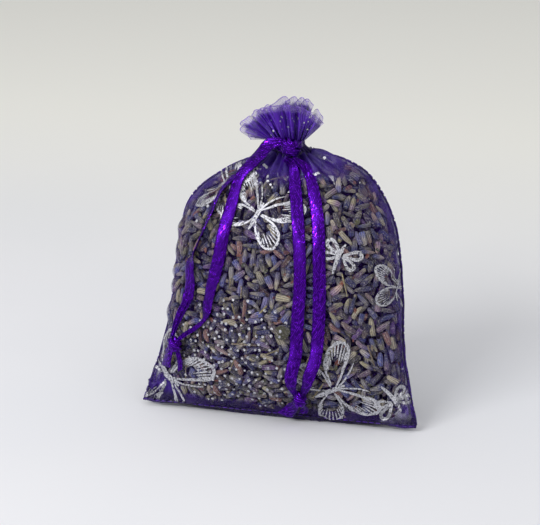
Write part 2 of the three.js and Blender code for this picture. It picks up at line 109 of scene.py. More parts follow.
towards_camera = direction(CAMERA_AZIMUTH, CAMERA_ELEVATION)
camera = add_object("camera", bpy.data.cameras.new("camera"))
camera.data.sensor_width = 36
camera.data.lens = 101.66
camera.data.clip_start = 0.01
camera.location = LOOK_AT + towards_camera * CAMERA_DISTANCE
camera.rotation_euler = towards_camera.to_track_quat("Z", "Y").to_euler()
bpy.context.scene.camera = camera
bpy.context.scene.view_settings.view_transform = "Standard"
print("camera at", [round(c, 3) for c in camera.location])

# %% [markdown]
# ## A small kit for materials
#
# A pattern such as a weave is arithmetic on the place on the cloth. Written with nodes one by one it is
# hard to read, so a value is wrapped in a class whose operators add the Math nodes. Every other kind of
# node comes from one method.


# %% Material kit
class Value:
    """A value on its way through a material. Arithmetic on it adds Math nodes."""

    def __init__(self, finish, socket):
        self.finish = finish
        self.socket = socket

    def math(self, operation, *inputs):
        return self.finish.node("ShaderNodeMath", {"operation": operation}, dict(enumerate(inputs)))

    def __add__(self, other):
        return self.math("ADD", self, other)

    __radd__ = __add__

    def __sub__(self, other):
        return self.math("SUBTRACT", self, other)

    def __rsub__(self, other):
        return self.math("SUBTRACT", other, self)

    def __mul__(self, other):
        return self.math("MULTIPLY", self, other)

    __rmul__ = __mul__

    def sine(self):
        return self.math("SINE", self)

    def fraction(self):
        return self.math("FRACT", self)

    def size(self):
        return self.math("ABSOLUTE", self)

    def most(self, other):
        return self.math("MAXIMUM", self, other)

    def ramp(self, low, high, start=0.0, end=1.0):
        """A soft step from start at low to end at high."""
        sockets = {"Value": self, "From Min": low, "From Max": high, "To Min": start, "To Max": end}
        return self.finish.node("ShaderNodeMapRange", {"interpolation_type": "SMOOTHSTEP"}, sockets)


class Finish:
    """A material with one Principled shader, and methods that add nodes to it."""

    def __init__(self, name, **uniform):
        self.material = bpy.data.materials.new(name)
        self.material.use_nodes = True
        self.tree = self.material.node_tree
        self.shader = self.tree.nodes["Principled BSDF"]
        for socket, value in uniform.items():
            self.shader.inputs[socket.replace("_", " ")].default_value = value

    def node(self, kind, settings=None, sockets=None, out=0):
        node = self.tree.nodes.new(kind)
        for key, value in (settings or {}).items():
            setattr(node, key, value)
        for key, value in (sockets or {}).items():
            self.feed(node.inputs[key], value)
        return Value(self, node.outputs[out])

    def feed(self, socket, value):
        if isinstance(value, Value):
            self.tree.links.new(value.socket, socket)
        else:
            socket.default_value = value

    def paint(self, socket, value):
        self.feed(self.shader.inputs[socket], value)

    def place(self, kind="Object"):
        return self.node("ShaderNodeTexCoord", out=kind)

    def part(self, vector, axis):
        return self.node("ShaderNodeSeparateXYZ", None, {0: vector}, out=axis)

    def speckle(self, where, scale, detail=2.0):
        sockets = {"Vector": where, "Scale": scale, "Detail": detail}
        return self.node("ShaderNodeTexNoise", None, sockets)

    def blend(self, share, first, second):
        """A colour between two, by a share. A Mix node's colours are its sockets 6 and 7 and its output 2."""
        return self.node("ShaderNodeMix", {"data_type": "RGBA"}, {0: share, 6: first, 7: second}, out=2)

    def bump(self, height, distance, strength=1.0):
        sockets = {"Strength": strength, "Distance": distance, "Height": height}
        self.paint("Normal", self.node("ShaderNodeBump", None, sockets))


def ink(red, green, blue):
    """A screen colour from 0 to 255 as the linear colour that a shader takes."""
    share = [c / 255 for c in (red, green, blue)]
    linear = [c / 12.92 if c < 0.04045 else ((c + 0.055) / 1.055) ** 2.4 for c in share]
    return (*linear, 1.0)


print("middle grey as a shader takes it", round(ink(128, 128, 128)[0], 3))


# %% Floor
def mesh_from(name, bm):
    """The mesh of a bmesh, which is freed."""
    mesh = bpy.data.meshes.new(name)
    bm.to_mesh(mesh)
    bm.free()
    return mesh


FLOOR_HALF = 3
paper = Finish("white paper", Roughness=0.9, Specular_IOR_Level=0.1)
paper_grain = paper.speckle(paper.place(), 6.0)
paper_tone = paper.blend(paper_grain.ramp(0.3, 0.7), ink(226, 227, 231), ink(230, 230, 233))
behind = paper.part(paper.place(), "Y").ramp(0.05, 0.5)
paper.paint("Base Color", paper.blend(behind, paper_tone, ink(247, 246, 239)))
floor_bm = bmesh.new()
bmesh.ops.create_grid(floor_bm, x_segments=1, y_segments=1, size=FLOOR_HALF)
floor = add_object("floor", mesh_from("floor", floor_bm))
floor.data.materials.append(paper.material)
floor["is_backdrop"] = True
print("floor", 2 * FLOOR_HALF, "m wide")


# %% Light
BAG_MIDDLE = Vector((0, 0, 0.05))
ROOM_LIGHT = 0.36


def soft_lamp(name, azimuth, elevation, distance, width, height, watts):
    """A soft box that faces the middle of the bag."""
    towards = direction(azimuth, elevation)
    lamp = bpy.data.lights.new(name, "AREA")
    lamp.shape = "RECTANGLE"
    lamp.size = width
    lamp.size_y = height
    lamp.energy = watts
    holder = add_object(name, lamp)
    holder.location = BAG_MIDDLE + towards * distance
    holder.rotation_euler = towards.to_track_quat("Z", "Y").to_euler()


# Azimuth and elevation in degrees, distance, width and height in metres, and watts.
soft_lamp("window_lamp", -28, 30, 1.0, 0.6, 0.16, 6.2)
soft_lamp("room_lamp", 55, 50, 1.1, 0.6, 0.6, 1.0)
soft_lamp("ceiling_lamp", 0, 89.9, 1.4, 4.4, 4.4, 25)
room = bpy.data.worlds.new("room")
room.use_nodes = True
room.node_tree.nodes["Background"].inputs["Color"].default_value = (0.97, 0.98, 1.0, 1.0)
room.node_tree.nodes["Background"].inputs["Strength"].default_value = ROOM_LIGHT
bpy.context.scene.world = room
print("lamps", len(bpy.data.lights))

# %% [markdown]
# ## The shape of the filled bag
#
# Two square panels are sewn together at the sides and the bottom, and the fill pushes them apart. The
# side seam and the middle of each panel are smooth lines through a few measured stops. A point of a panel
# lies between the side seam and the panel's middle line, further out where the bag is fuller. Any place
# on the cloth is then given by two numbers: the turn from one side seam to the other, and the share of
# the way up.


# %% Smooth lines
def through_four(a, b, c, d, share):
    """A point between b and c on the smooth line through four stops."""
    spans = [max((q - p).length, 1e-6) ** 0.5 for p, q in ((a, b), (b, c), (c, d))]
    marks = [0.0, spans[0], spans[0] + spans[1], sum(spans)]
    here = marks[1] + share * spans[1]
    first = a.lerp(b, (here - marks[0]) / spans[0])
    second = b.lerp(c, (here - marks[1]) / spans[1])
    third = c.lerp(d, (here - marks[2]) / spans[2])
    left = first.lerp(second, (here - marks[0]) / (marks[2] - marks[0]))
    right = second.lerp(third, (here - marks[1]) / (marks[3] - marks[1]))
    return left.lerp(right, (here - marks[1]) / spans[1])


LINE_STEPS = 20
STEP = 0.004


class Line:
    """A smooth line through stops, read by a share of its length."""

    def __init__(self, stops):
        stops = [Vector(stop) for stop in stops]
        stops = [2 * stops[0] - stops[1], *stops, 2 * stops[-1] - stops[-2]]
        self.points = []
        for four in zip(stops, stops[1:], stops[2:], stops[3:]):
            self.points += [through_four(*four, i / LINE_STEPS) for i in range(LINE_STEPS)]
        self.points.append(stops[-2])
        self.marks = [0.0]
        for here, there in zip(self.points, self.points[1:]):
            self.marks.append(self.marks[-1] + (there - here).length)
        self.length = self.marks[-1]

    def at(self, share):
        distance = min(max(share, 0.0), 1.0) * self.length
        i = bisect.bisect_left(self.marks, distance, 1, len(self.marks) - 1)
        part = (distance - self.marks[i - 1]) / (self.marks[i] - self.marks[i - 1])
        return self.points[i - 1].lerp(self.points[i], part)

    def heading(self, share):
        return (self.at(share + STEP) - self.at(share - STEP)).normalized()


def lerp(a, b, share):
    return a + (b - a) * share


def soft_step(low, high, value):
    share = min(max((value - low) / (high - low), 0.0), 1.0)
    return share * share * (3 - 2 * share)


SEED_SPREAD = 7.31


def wave(seed, *place):
    """Smooth noise from -1 to 1 at a place of up to two numbers."""
    return noise.noise(Vector((*place, 0.0, 0.0)[:2] + (seed * SEED_SPREAD,)))


print("a line through two stops is", Line([(0, 0, 0), (3, 4, 0)]).length, "long")

# %% Lines of the bag, in millimetres
NECK_HEIGHT = 84
NECK_BEHIND = 8
SEAM_AHEAD = 11
SEAM_LIFT = 2.2


def side_seam_y(z):
    return lerp(NECK_BEHIND, -SEAM_AHEAD, (1 - z / NECK_HEIGHT) ** 1.6)


def seam_line(*shoulder):
    """A side seam through the full widths and heights of its stops."""
    stops = [(90, SEAM_LIFT), (79, 23), (74.5, 44), *shoulder, (13, NECK_HEIGHT)]
    return Line([(width / 2, side_seam_y(z), z) for width, z in stops])


right_line = seam_line((66.5, 64.5), (50, 77.7), (32, 82.5))
left_line = seam_line((68, 66), (45, 76.5))
front_line = Line([(0, -11, 2.2), (0, -17, 15), (0, -15.5, 44), (0, -9.5, 65), (0, 1.5, 84)])
back_line = Line([(0, -11, 2.2), (0, -5, -6), (0, 10, -6), (0, 20.5, 27), (0, 17.5, 65), (0, 14.5, 84)])


def bag_point(middle_line, turn, up):
    """A point of the smooth bag, before any folds."""
    side = (left_line if turn < 0 else right_line).at(up)
    middle = middle_line.at(up)
    filled = soft_step(0.04, 0.22, up) * (1 - soft_step(0.72, 0.97, up))
    fullness = max(0.0, math.cos(turn)) ** (1 + 0.5 * (1 - up) ** 4 - 0.35 * filled)
    z = lerp(side.z, middle.z, fullness)
    return Vector((side.x * math.sin(turn), lerp(side.y, middle.y, fullness), max(z, 0.0)))


SEAM_SIDE = 1.55


def bag_normal(middle_line, turn, up):
    """Out of the bag."""
    along = bag_point(middle_line, turn, min(up + STEP, 1)) - bag_point(middle_line, turn, max(up - STEP, 0))
    turn = min(max(turn, -SEAM_SIDE), SEAM_SIDE)
    across = bag_point(middle_line, turn + STEP, up) - bag_point(middle_line, turn - STEP, up)
    normal = across.cross(along).normalized()
    return normal if middle_line is front_line else -normal


print("side seam", round(right_line.length, 1), "mm, front middle", round(front_line.length, 1), "mm")

# %% [markdown]
# ## Panels
#
# Each panel starts as a flat grid, as the cloth did, and every point of the grid is carried to its place
# on the bag. Folds fan out from the drawn neck: many small ones at the neck, and fewer and wider ones on
# the shoulders. The two grids are then welded at the seams and blown up a little as cloth, with more
# cloth than the shape needs, so that the panels pucker along the seams as sewn organza does. Only the
# creases are kept, not the swell.


# %% Folds
FINE_FOLDS = 17
FINE_HEIGHT = 0.85
BROAD_FOLDS = 7.5
BROAD_HEIGHT = 0.95
PUCKER_HEIGHT = 0.42
CRUMPLE_HEIGHT = 0.8
UNEVENNESS = 0.16


def gathers(seed, turn, up):
    """Height of the folds that the drawn neck makes, in millimetres."""
    drift = 1.5 * wave(seed, turn * 1.2, up * 3)
    fine = math.sin(turn * FINE_FOLDS + drift * 1.6 + seed)
    broad = math.sin(turn * BROAD_FOLDS + drift * 2.2 + 2 * seed)
    near = soft_step(0.78, 1.0, up)
    shoulder = soft_step(0.6, 0.9, up) * (1 - 0.6 * near)
    return FINE_HEIGHT * near * fine + BROAD_HEIGHT * shoulder * broad


def puckers(seed, turn, up):
    """Small waves where the side seams draw the cloth in, in millimetres."""
    edge = soft_step(0.95, 1.5, abs(turn))
    side = 1 if turn > 0 else -1
    rise = math.sin(up * 84 + 3 * wave(seed, up * 9, side)) + 0.6 * math.sin(up * 47 + side)
    flat = soft_step(1.57, 1.4, abs(turn))
    return PUCKER_HEIGHT * edge * flat * rise


def crumples(seed, turn, up):
    """Crumples in the two bottom corners, which hold no fill, in millimetres."""
    corner = soft_step(0.8, 1.2, abs(turn)) * soft_step(0.16, 0.06, up)
    return CRUMPLE_HEIGHT * corner * math.sin(turn * 36 + 5 * wave(seed + 5, turn * 4, up * 30))


print("folds at the neck up to", max(FINE_HEIGHT, BROAD_HEIGHT), "mm, crumples", CRUMPLE_HEIGHT, "mm")

# %% The two panels as grids
def cloth_mesh(columns, rows, place, size):
    """A grid of cloth. Its UV map is the flat cloth in millimetres, and place carries each point there."""
    bm = bmesh.new()
    chart = bm.loops.layers.uv.new("UVMap")
    bmesh.ops.create_grid(bm, x_segments=columns, y_segments=rows, size=0.5)
    for face in bm.faces:
        for loop in face.loops:
            across, along, _ = loop.vert.co
            loop[chart].uv = ((across + 0.5) * size[0], (along + 0.5) * size[1])
    for vert in bm.verts:
        vert.co = place(vert.co.x + 0.5, vert.co.y + 0.5) * MM
    return bm


PANEL_SIZE = (90, 95)
PANEL_COLUMNS = 96
PANEL_ROWS = 76
SEAM_TURN = 1.5708


def panel_grid(middle_line, seed):
    """The front or back panel, with all its folds."""
    facing = 1 if middle_line is front_line else -1

    def place(across, up):
        turn = facing * (across - 0.5) * math.pi
        lift = gathers(seed, turn, up) + puckers(seed, turn, up) + crumples(seed, turn, up)
        lift += UNEVENNESS * wave(seed + 3, turn * 11, up * 26) * soft_step(0, 0.1, up)
        lift *= soft_step(SEAM_TURN, 1.48, abs(turn)) * soft_step(0, 0.03, up)
        point = bag_point(middle_line, turn, up) + bag_normal(middle_line, turn, up) * lift
        point.z = max(point.z, 0.0)
        return point

    return cloth_mesh(PANEL_COLUMNS, PANEL_ROWS, place, PANEL_SIZE)


front_grid = mesh_from("front_grid", panel_grid(front_line, 1))
back_grid = mesh_from("back_grid", panel_grid(back_line, 2))
print("panel grids", len(front_grid.vertices), "points each")


# %% Weld the panels at the seams, and let the cloth pucker
FRONT, BACK = 0, 1


def weld(bm, reach):
    """Merges points that lie within a reach in millimetres of each other."""
    bmesh.ops.remove_doubles(bm, verts=bm.verts, dist=reach * MM)


def welded_bag():
    """Both panels as one mesh, which tells them apart by the material index of their faces."""
    bm = bmesh.new()
    bm.from_mesh(front_grid)
    front_faces = len(bm.faces)
    bm.from_mesh(back_grid)
    bm.faces.ensure_lookup_table()
    for face in bm.faces[front_faces:]:
        face.material_index = BACK
    weld(bm, 0.02)
    return mesh_from("bag_cloth", bm)


SIM_SCALE = 10
MOST_MOVE = 0.9 * MM
SIM_FRAMES = 16
EVENING_ROUNDS = 30
NECK_GRIP = (70 * MM, 82 * MM)
FOOT_GRIP = (1.5 * MM, 0.3 * MM)


def evened_out(mesh, values):
    """The values of the points, each averaged with its neighbours again and again."""
    near = [[] for _ in mesh.vertices]
    for edge in mesh.edges:
        a, b = edge.vertices
        near[a].append(b)
        near[b].append(a)
    for _ in range(EVENING_ROUNDS):
        means = [sum(values[j] for j in others) / len(others) for others in near]
        values = [(value + mean) / 2 for value, mean in zip(values, means)]
    return values


def puff(mesh):
    """Blows the welded bag up as cloth with cloth to spare, and keeps the creases without the swell."""
    rest = [vert.co.copy() for vert in mesh.vertices]
    bag = add_object("bag_cloth", mesh)
    mesh.transform(Matrix.Scale(SIM_SCALE, 4))
    held = bag.vertex_groups.new(name="held")
    for vert, place in zip(mesh.vertices, rest):
        grip = max(soft_step(*NECK_GRIP, place.z), soft_step(*FOOT_GRIP, place.z))
        held.add([vert.index], grip, "REPLACE")
    cloth = bag.modifiers.new("Cloth", "CLOTH")
    cloth.settings.quality = 7
    cloth.settings.mass = 0.15
    cloth.settings.tension_stiffness = 12
    cloth.settings.compression_stiffness = 12
    cloth.settings.shear_stiffness = 6
    cloth.settings.bending_stiffness = 0.08
    cloth.settings.air_damping = 3
    cloth.settings.vertex_group_mass = "held"
    cloth.settings.shrink_min = -0.035
    cloth.settings.use_pressure = True
    cloth.settings.uniform_pressure_force = 0.25
    cloth.settings.effector_weights.gravity = 0
    cloth.collision_settings.use_collision = False
    for number in range(1, SIM_FRAMES + 1):
        bpy.context.scene.frame_set(number)
    seen = bag.evaluated_get(bpy.context.evaluated_depsgraph_get())
    moved = [vert.co / SIM_SCALE for vert in seen.data.vertices]
    bag.modifiers.remove(cloth)
    bpy.context.scene.frame_set(1)
    outs = [(after - before).dot(vert.normal) for vert, before, after in zip(mesh.vertices, rest, moved)]
    swell = evened_out(mesh, outs)
    most = 0.0
    for vert, before, out, even in zip(mesh.vertices, rest, outs, swell):
        crease = min(max(out - even, -MOST_MOVE), MOST_MOVE)
        most = max(most, abs(crease))
        vert.co = before + vert.normal * crease
        vert.co.z = max(vert.co.z, 0.0)
    bpy.data.objects.remove(bag)
    print("creases up to", round(most / MM, 2), "mm")


bag_cloth = welded_bag()
puff(bag_cloth)
print("welded bag", len(bag_cloth.vertices), "points")

# %% [markdown]
# ### Organza
#
# Organza is a plain weave of thin stiff threads with open holes between them. The holes let the buds
# show, so the weave is in the Alpha: each thread is a narrow band of the flat cloth's own coordinates, in
# millimetres. The threads are glossy, which gives the cloth its faint shimmer, and where two layers or a
# fold lie over each other the purple deepens by itself.


# %% Organza finish
def threads(finish, pitch, share):
    """1 on a thread and 0 in a hole, from the flat cloth's coordinates in millimetres."""
    chart = finish.place("UV")
    drift = finish.speckle(finish.place(), 420.0, 1.0) * 0.55
    masks = []
    for axis in ("X", "Y"):
        away = ((finish.part(chart, axis) * (1 / pitch) + drift).fraction() - 0.5).size()
        masks.append(away.ramp(share / 2 + 0.07, share / 2 - 0.07))
    return masks


def organza(name, pitch, share, dark, pale, gloss=0.35):
    """Purple organza, the mask of its threads and its colour."""
    finish = Finish(name, Roughness=gloss, Specular_IOR_Level=0.3)
    warp, weft = threads(finish, pitch, share)
    tone = finish.speckle(finish.place(), 160.0, 3.0)
    colour = finish.blend(tone.ramp(0.35, 0.7), dark, pale)
    finish.paint("Base Color", colour)
    finish.bump(warp * 0.6 + weft, 0.05 * MM, 0.5)
    return finish, warp.most(weft), colour


PANEL_PITCH = 0.5
THREAD_ALPHA = 0.17
HOLE_ALPHA = 0.015
panel_cloth, panel_thread, panel_colour = organza(
    "sheer organza", PANEL_PITCH, 0.16, ink(46, 12, 112), ink(80, 36, 156)
)
panel_chart = panel_cloth.place("UV")
from_middle = (panel_cloth.part(panel_chart, "X") - PANEL_SIZE[0] / 2).size()
from_foot = panel_cloth.part(panel_chart, "Y")
fold_tone = panel_cloth.speckle(panel_cloth.place(), 260.0, 2.0).ramp(0.3, 0.75, 0.75, 1.25)
at_flanks = from_middle.ramp(29, 37) * 0.12
at_seams = from_middle.ramp(38.5, 44) * 0.72
bag_x = panel_cloth.part(panel_cloth.place(), "X")
# Painted shade: near the foot the cloth turns denser and near black, standing for the shadow under the bag's
# overhanging belly.
painted_foot_shade = from_foot.ramp(5.0, 1.6) * 0.8
at_neck = from_foot.ramp(82, 91) * 0.92
at_shoulder = from_middle.ramp(18, 32) * from_foot.ramp(80, 87) * bag_x.ramp(0.0, 8 * MM) * 0.8
left_corner = bag_x.ramp(-30 * MM, -36 * MM) * 0.9
right_corner = bag_x.ramp(36 * MM, 43 * MM) * 0.6
at_corners = left_corner.most(right_corner) * from_foot.ramp(13, 6)
at_edges = at_flanks.most(at_seams).most(painted_foot_shade)
crowding_and_foot_shade = at_edges.most(at_neck).most(at_shoulder).most(at_corners) * fold_tone
panel_cloth.paint("Alpha", panel_thread * THREAD_ALPHA + crowding_and_foot_shade + HOLE_ALPHA)
doubled = at_neck.most(at_seams).most(at_shoulder).most(at_corners) * 0.8
layered = panel_cloth.blend(doubled, panel_colour, ink(36, 6, 98))
# The base colour goes near black at the foot as painted shade.
panel_cloth.paint("Base Color", panel_cloth.blend(painted_foot_shade, layered, ink(14, 4, 40)))
print("organza ready")


# %% Cut the welded bag into its two panels
def make_piece(name, bm, finish, body="bag", bend=None):
    """A smooth piece with one finish, which moves with a body of the frame.

    A piece with a bend is given to no body and stays where it is made.
    """
    mesh = mesh_from(name, bm)
    mesh.materials.append(finish.material)
    for polygon in mesh.polygons:
        polygon.use_smooth = True
        polygon.material_index = 0
    piece = add_object(name, mesh)
    if bend:
        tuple(bend[0])
        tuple(bend[1])
        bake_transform(piece)
    else:
        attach(piece, body)
    return piece


def cut_panel(name, number):
    bm = bmesh.new()
    bm.from_mesh(bag_cloth)
    others = [face for face in bm.faces if face.material_index != number]
    bmesh.ops.delete(bm, geom=others, context="FACES")
    bmesh.ops.subdivide_edges(bm, edges=bm.edges, cuts=1, use_grid_fill=True, smooth=0.6)
    return make_piece(name, bm, panel_cloth)


front_panel = cut_panel("front_cloth", FRONT)
back_panel = cut_panel("back_cloth", BACK)
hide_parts("front_panel")
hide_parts("back_panel")


def tree_of(*pieces):
    """The surface of some pieces, to ask for the nearest point or for what a ray meets."""
    points = []
    faces = []
    for piece in pieces:
        start = len(points)
        points += [vert.co.copy() for vert in piece.data.vertices]
        faces += [[start + i for i in polygon.vertices] for polygon in piece.data.polygons]
    return BVHTree.FromPolygons(points, faces)


bag_tree = tree_of(front_panel, back_panel)
front_tree = tree_of(front_panel)
back_tree = tree_of(back_panel)
AHEAD = Vector((0, -1, 0))
BEHIND = Vector((0, 1, 0))
FAR_AHEAD = -200


def seen_from_front(tree, x, z):
    """The point of a surface that is met straight from the front, and the direction out of it there."""
    hit, normal, _, _ = tree.ray_cast(Vector((x, FAR_AHEAD, z)) * MM, BEHIND)
    return hit, normal if hit is None or normal.y < 0 else -normal


print("panels", len(front_panel.data.polygons), "faces each")

# %% [markdown]
# ## Lavender fill
#
# A dried lavender bud is a ribbed tube about 6 mm long, greenish grey at its stalk and slate violet at
# its mouth. Some thousands of them fill the bag. Only those near the cloth can be seen, so buds are laid
# in a few layers under the panels, over a dark core. One bud is spun from its profile. To keep buds from
# lying in each other, each counts as a row of four beads, and a new bud is laid only where its beads keep
# their distance from all others.


# %% Buds of three kinds
BUD_LENGTH = 5.3
BUD_RADIUS = 1.08
BUD_SIDES = 7
BUD_FLATNESS = 0.84
# Profiles of a bud, as shares of its radius and of its length.
PLUMP = [(0.2, -0.5), (0.6, -0.4), (0.92, -0.1), (1.0, 0.2), (0.92, 0.4), (0.7, 0.5), (0.3, 0.42)]
SLIM = [(0.16, -0.5), (0.5, -0.38), (0.78, -0.08), (0.84, 0.18), (0.74, 0.42), (0.5, 0.5), (0.24, 0.44)]
OPEN = [(0.3, -0.42), (0.74, -0.34), (1.02, -0.05), (1.06, 0.2), (1.04, 0.36), (0.9, 0.4), (0.5, 0.18)]


def bud_mesh(profile, bend):
    """A bud spun from radii and heights, bent sideways and wrinkled."""
    bm = bmesh.new()
    chart = bm.loops.layers.uv.new("UVMap")
    line = [bm.verts.new((radius * BUD_RADIUS, 0, z * BUD_LENGTH)) for radius, z in profile]
    edges = [bm.edges.new(pair) for pair in zip(line, line[1:])]
    turn = {"axis": (0, 0, 1), "cent": (0, 0, 0), "angle": 2 * math.pi, "steps": BUD_SIDES, "use_merge": True}
    bmesh.ops.spin(bm, geom=line + edges, **turn)
    bmesh.ops.remove_doubles(bm, verts=bm.verts, dist=0.001)
    bmesh.ops.holes_fill(bm, edges=bm.edges, sides=0)
    bmesh.ops.recalc_face_normals(bm, faces=bm.faces)
    for face in bm.faces:
        middle = face.calc_center_median()
        around = math.atan2(middle.y, middle.x)
        for loop in face.loops:
            angle = math.atan2(loop.vert.co.y, loop.vert.co.x)
            angle += 2 * math.pi * round((around - angle) / (2 * math.pi))
            loop[chart].uv = (angle / (2 * math.pi), loop.vert.co.z / BUD_LENGTH + 0.5)
    for vert in bm.verts:
        share = vert.co.z / BUD_LENGTH
        crease = 1 + 0.24 * wave(bend, vert.co.x * 2, vert.co.y * 2 + share * 3)
        side = vert.co.x * crease + bend * (share * share - 0.1)
        vert.co = Vector((side, vert.co.y * crease * BUD_FLATNESS, vert.co.z))
    bmesh.ops.scale(bm, vec=(MM, MM, MM), verts=bm.verts)
    mesh = mesh_from("bud", bm)
    mesh.color_attributes.new("tint", "FLOAT_COLOR", "POINT")
    return mesh


buds = [bud_mesh(PLUMP, 0.7), bud_mesh(SLIM, 1.7), bud_mesh(OPEN, 0.3), bud_mesh(PLUMP, -1.2)]
print("kinds of bud", len(buds), "with", len(buds[0].polygons), "faces")

# %% [markdown]
# ### Finish of the buds
#
# No two buds have the same colour. Each bud carries its own tint on its points, which runs from the
# stalk's tone to the mouth's. The material adds the ribs, as fine bands round the bud with painted shade
# in the furrows between them, and some dust.

# %% Bud finish
BUD_RIBS = 9
dried_bud = Finish("dried lavender", Roughness=0.82, Specular_IOR_Level=0.25, Sheen_Weight=0.15)
bud_chart = dried_bud.place("UV")
ribs = (dried_bud.part(bud_chart, "X") * (2 * math.pi * BUD_RIBS)).sine() * 0.5 + 0.5
dust = dried_bud.speckle(dried_bud.place(), 1900.0, 2.0)
tint = dried_bud.node("ShaderNodeAttribute", {"attribute_name": "tint"}, out="Color")
# Painted shade: the furrows between the ribs are darkened towards near black.
furrow = ribs.ramp(0.05, 0.7, 0.68, 0.0)
tint_with_painted_furrow_shade = dried_bud.blend(furrow, tint, ink(26, 24, 32))
dusted = dried_bud.blend(dust.ramp(0.5, 0.72, 0.0, 0.45), tint_with_painted_furrow_shade, ink(204, 198, 186))
dried_bud.paint("Base Color", dusted)
dried_bud.bump(ribs + dust * 0.7, 0.2 * MM, 0.8)

STALK_TONES = [
    (184, 176, 138), (164, 156, 122), (198, 188, 160), (150, 142, 134), (174, 148, 136), (130, 124, 114),
]
MOUTH_TONES = [
    (84, 90, 140), (66, 72, 124), (104, 100, 138), (58, 60, 100), (124, 104, 122), (132, 128, 128),
]
ODD_TONES = [(152, 112, 102), (112, 84, 138), (92, 66, 58), (196, 186, 156)]
print("bud finish ready")


# %% Beads that keep their distance
class Beads:
    """Beads in space that keep their distance from each other."""

    def __init__(self, gap):
        self.gap = gap
        self.cells = {}

    def cell(self, point):
        return tuple(math.floor(c / self.gap) for c in point)

    def near(self, point):
        x, y, z = self.cell(point)
        for i in (x - 1, x, x + 1):
            for j in (y - 1, y, y + 1):
                for k in (z - 1, z, z + 1):
                    yield from self.cells.get((i, j, k), ())

    def free(self, points):
        least = self.gap * self.gap
        return all((other - point).length_squared > least for point in points for other in self.near(point))

    def add(self, points):
        for point in points:
            self.cells.setdefault(self.cell(point), []).append(point)


BEAD_GAP = 1.38 * MM
front_beads = Beads(BEAD_GAP)
back_beads = Beads(BEAD_GAP)
print("beads keep", round(BEAD_GAP / MM, 2), "mm apart")

# %% Where a bud may lie
FILL_TOP = 80
LEFT_DROP = 4
LEFT_EAR = 36.5
RIGHT_EAR = 38.5
EAR_CLOSED = 45
CLOTH_ROOM = 0.7 * MM


def fill_level(x):
    """Height of the heap of buds inside the bag, in metres. It is lower on the left."""
    return (FILL_TOP - LEFT_DROP * soft_step(-6 * MM, -34 * MM, x) + 1.2 * wave(9, x / MM * 0.09)) * MM


def along_seam(point):
    """The direction of the nearer side seam at a point's height."""
    line = right_line if point.x > 0 else left_line
    share = min((i / 40 for i in range(41)), key=lambda s: abs(line.at(s).z - point.z / MM))
    heading = line.heading(share)
    return Vector((heading.x if point.x > 0 else -heading.x, heading.y, heading.z))


def in_an_ear(point):
    """Whether a point lies in one of the empty bottom corners."""
    inmost = LEFT_EAR if point.x < 0 else RIGHT_EAR
    return abs(point.x) > lerp(inmost, EAR_CLOSED, soft_step(3 * MM, 15 * MM, point.z)) * MM


def between_panels(point):
    """Whether the front cloth lies ahead of a point and the back cloth behind it."""
    front, _, _, _ = front_tree.ray_cast(point, AHEAD)
    back, _, _, _ = back_tree.ray_cast(point, BEHIND)
    return front is not None and back is not None


def well_inside(point):
    """Whether a point lies inside the bag, with room to the cloth."""
    near, normal, _, distance = bag_tree.find_nearest(point)
    return distance > CLOTH_ROOM and (point - near).dot(normal) < 0 and between_panels(point)


print("the fill reaches", round(fill_level(0) / MM, 1), "mm in the middle")

# %% Lay the buds
BEAD_SHARES = (-0.36, -0.12, 0.12, 0.36)
WHOLE = (0.78, 1.12)
BROKEN = (0.36, 0.6)


def lay_buds(panel, beads, layers, sizes, seed):
    """Places for buds of some sizes under a panel, outermost layer first.

    A layer is a depth under the cloth in millimetres and how often a bud is tried there.
    """
    chance = random.Random(seed)
    polygons = panel.data.polygons
    chart = panel.data.uv_layers[0].data
    across = [chart[polygon.loop_start].uv.x / PANEL_SIZE[0] for polygon in polygons]
    edge_share = [soft_step(0.26, 0.46, abs(share - 0.5)) for share in across]
    near_seam = zip(polygons, edge_share)
    seam_ways = [along_seam(polygon.center) if edge else Vector() for polygon, edge in near_seam]
    weights = [polygon.area * (1 + 2 * edge) for polygon, edge in zip(polygons, edge_share)]
    laid = []
    for depth, tries in layers:
        for polygon in chance.choices(polygons, weights, k=tries):
            order = 4 * edge_share[polygon.index]
            lie = Vector([chance.gauss(0, 1) for _ in range(3)])
            lie += seam_ways[polygon.index] * chance.gauss(0, order)
            normal = polygon.normal
            lie -= normal * lie.dot(normal) * (1 - chance.uniform(0, 0.3))
            lie.normalize()
            centre = polygon.center - normal * (depth + chance.uniform(0, 0.5)) * MM
            if centre.z > fill_level(centre.x) or in_an_ear(centre):
                continue
            size = chance.uniform(*sizes)
            row = [centre + lie * share * size * BUD_LENGTH * MM for share in BEAD_SHARES]
            if not beads.free(row):
                continue
            if not all(well_inside(bead) for bead in row):
                continue
            beads.add(row)
            roll = Matrix.Rotation(chance.uniform(0, 6.28), 3, "Z")
            turn = lie.to_track_quat("Z", "Y").to_matrix() @ roll
            width = chance.uniform(0.84, 1.06) * min(1, 0.5 + 0.6 * size)
            place = turn @ Matrix.Diagonal((width, width, size))
            laid.append(Matrix.Translation(centre) @ place.to_4x4())
    return laid


front_laid = lay_buds(front_panel, front_beads, [(0.9, 60000), (1.9, 24000), (3.1, 14000)], WHOLE, 11)
back_laid = lay_buds(back_panel, back_beads, [(0.9, 46000), (1.9, 16000)], WHOLE, 12)
front_bits = lay_buds(front_panel, front_beads, [(0.85, 40000), (1.7, 24000), (2.6, 12000)], BROKEN, 13)
back_bits = lay_buds(back_panel, back_beads, [(0.85, 30000), (1.7, 16000)], BROKEN, 14)
print("whole buds", len(front_laid), "in front and", len(back_laid), "behind")
print("broken buds", len(front_bits), "in front and", len(back_bits), "behind")

# %% Tint the buds and heap them
ODD_SHARE = 0.1
DARK_SHARE = 0.28


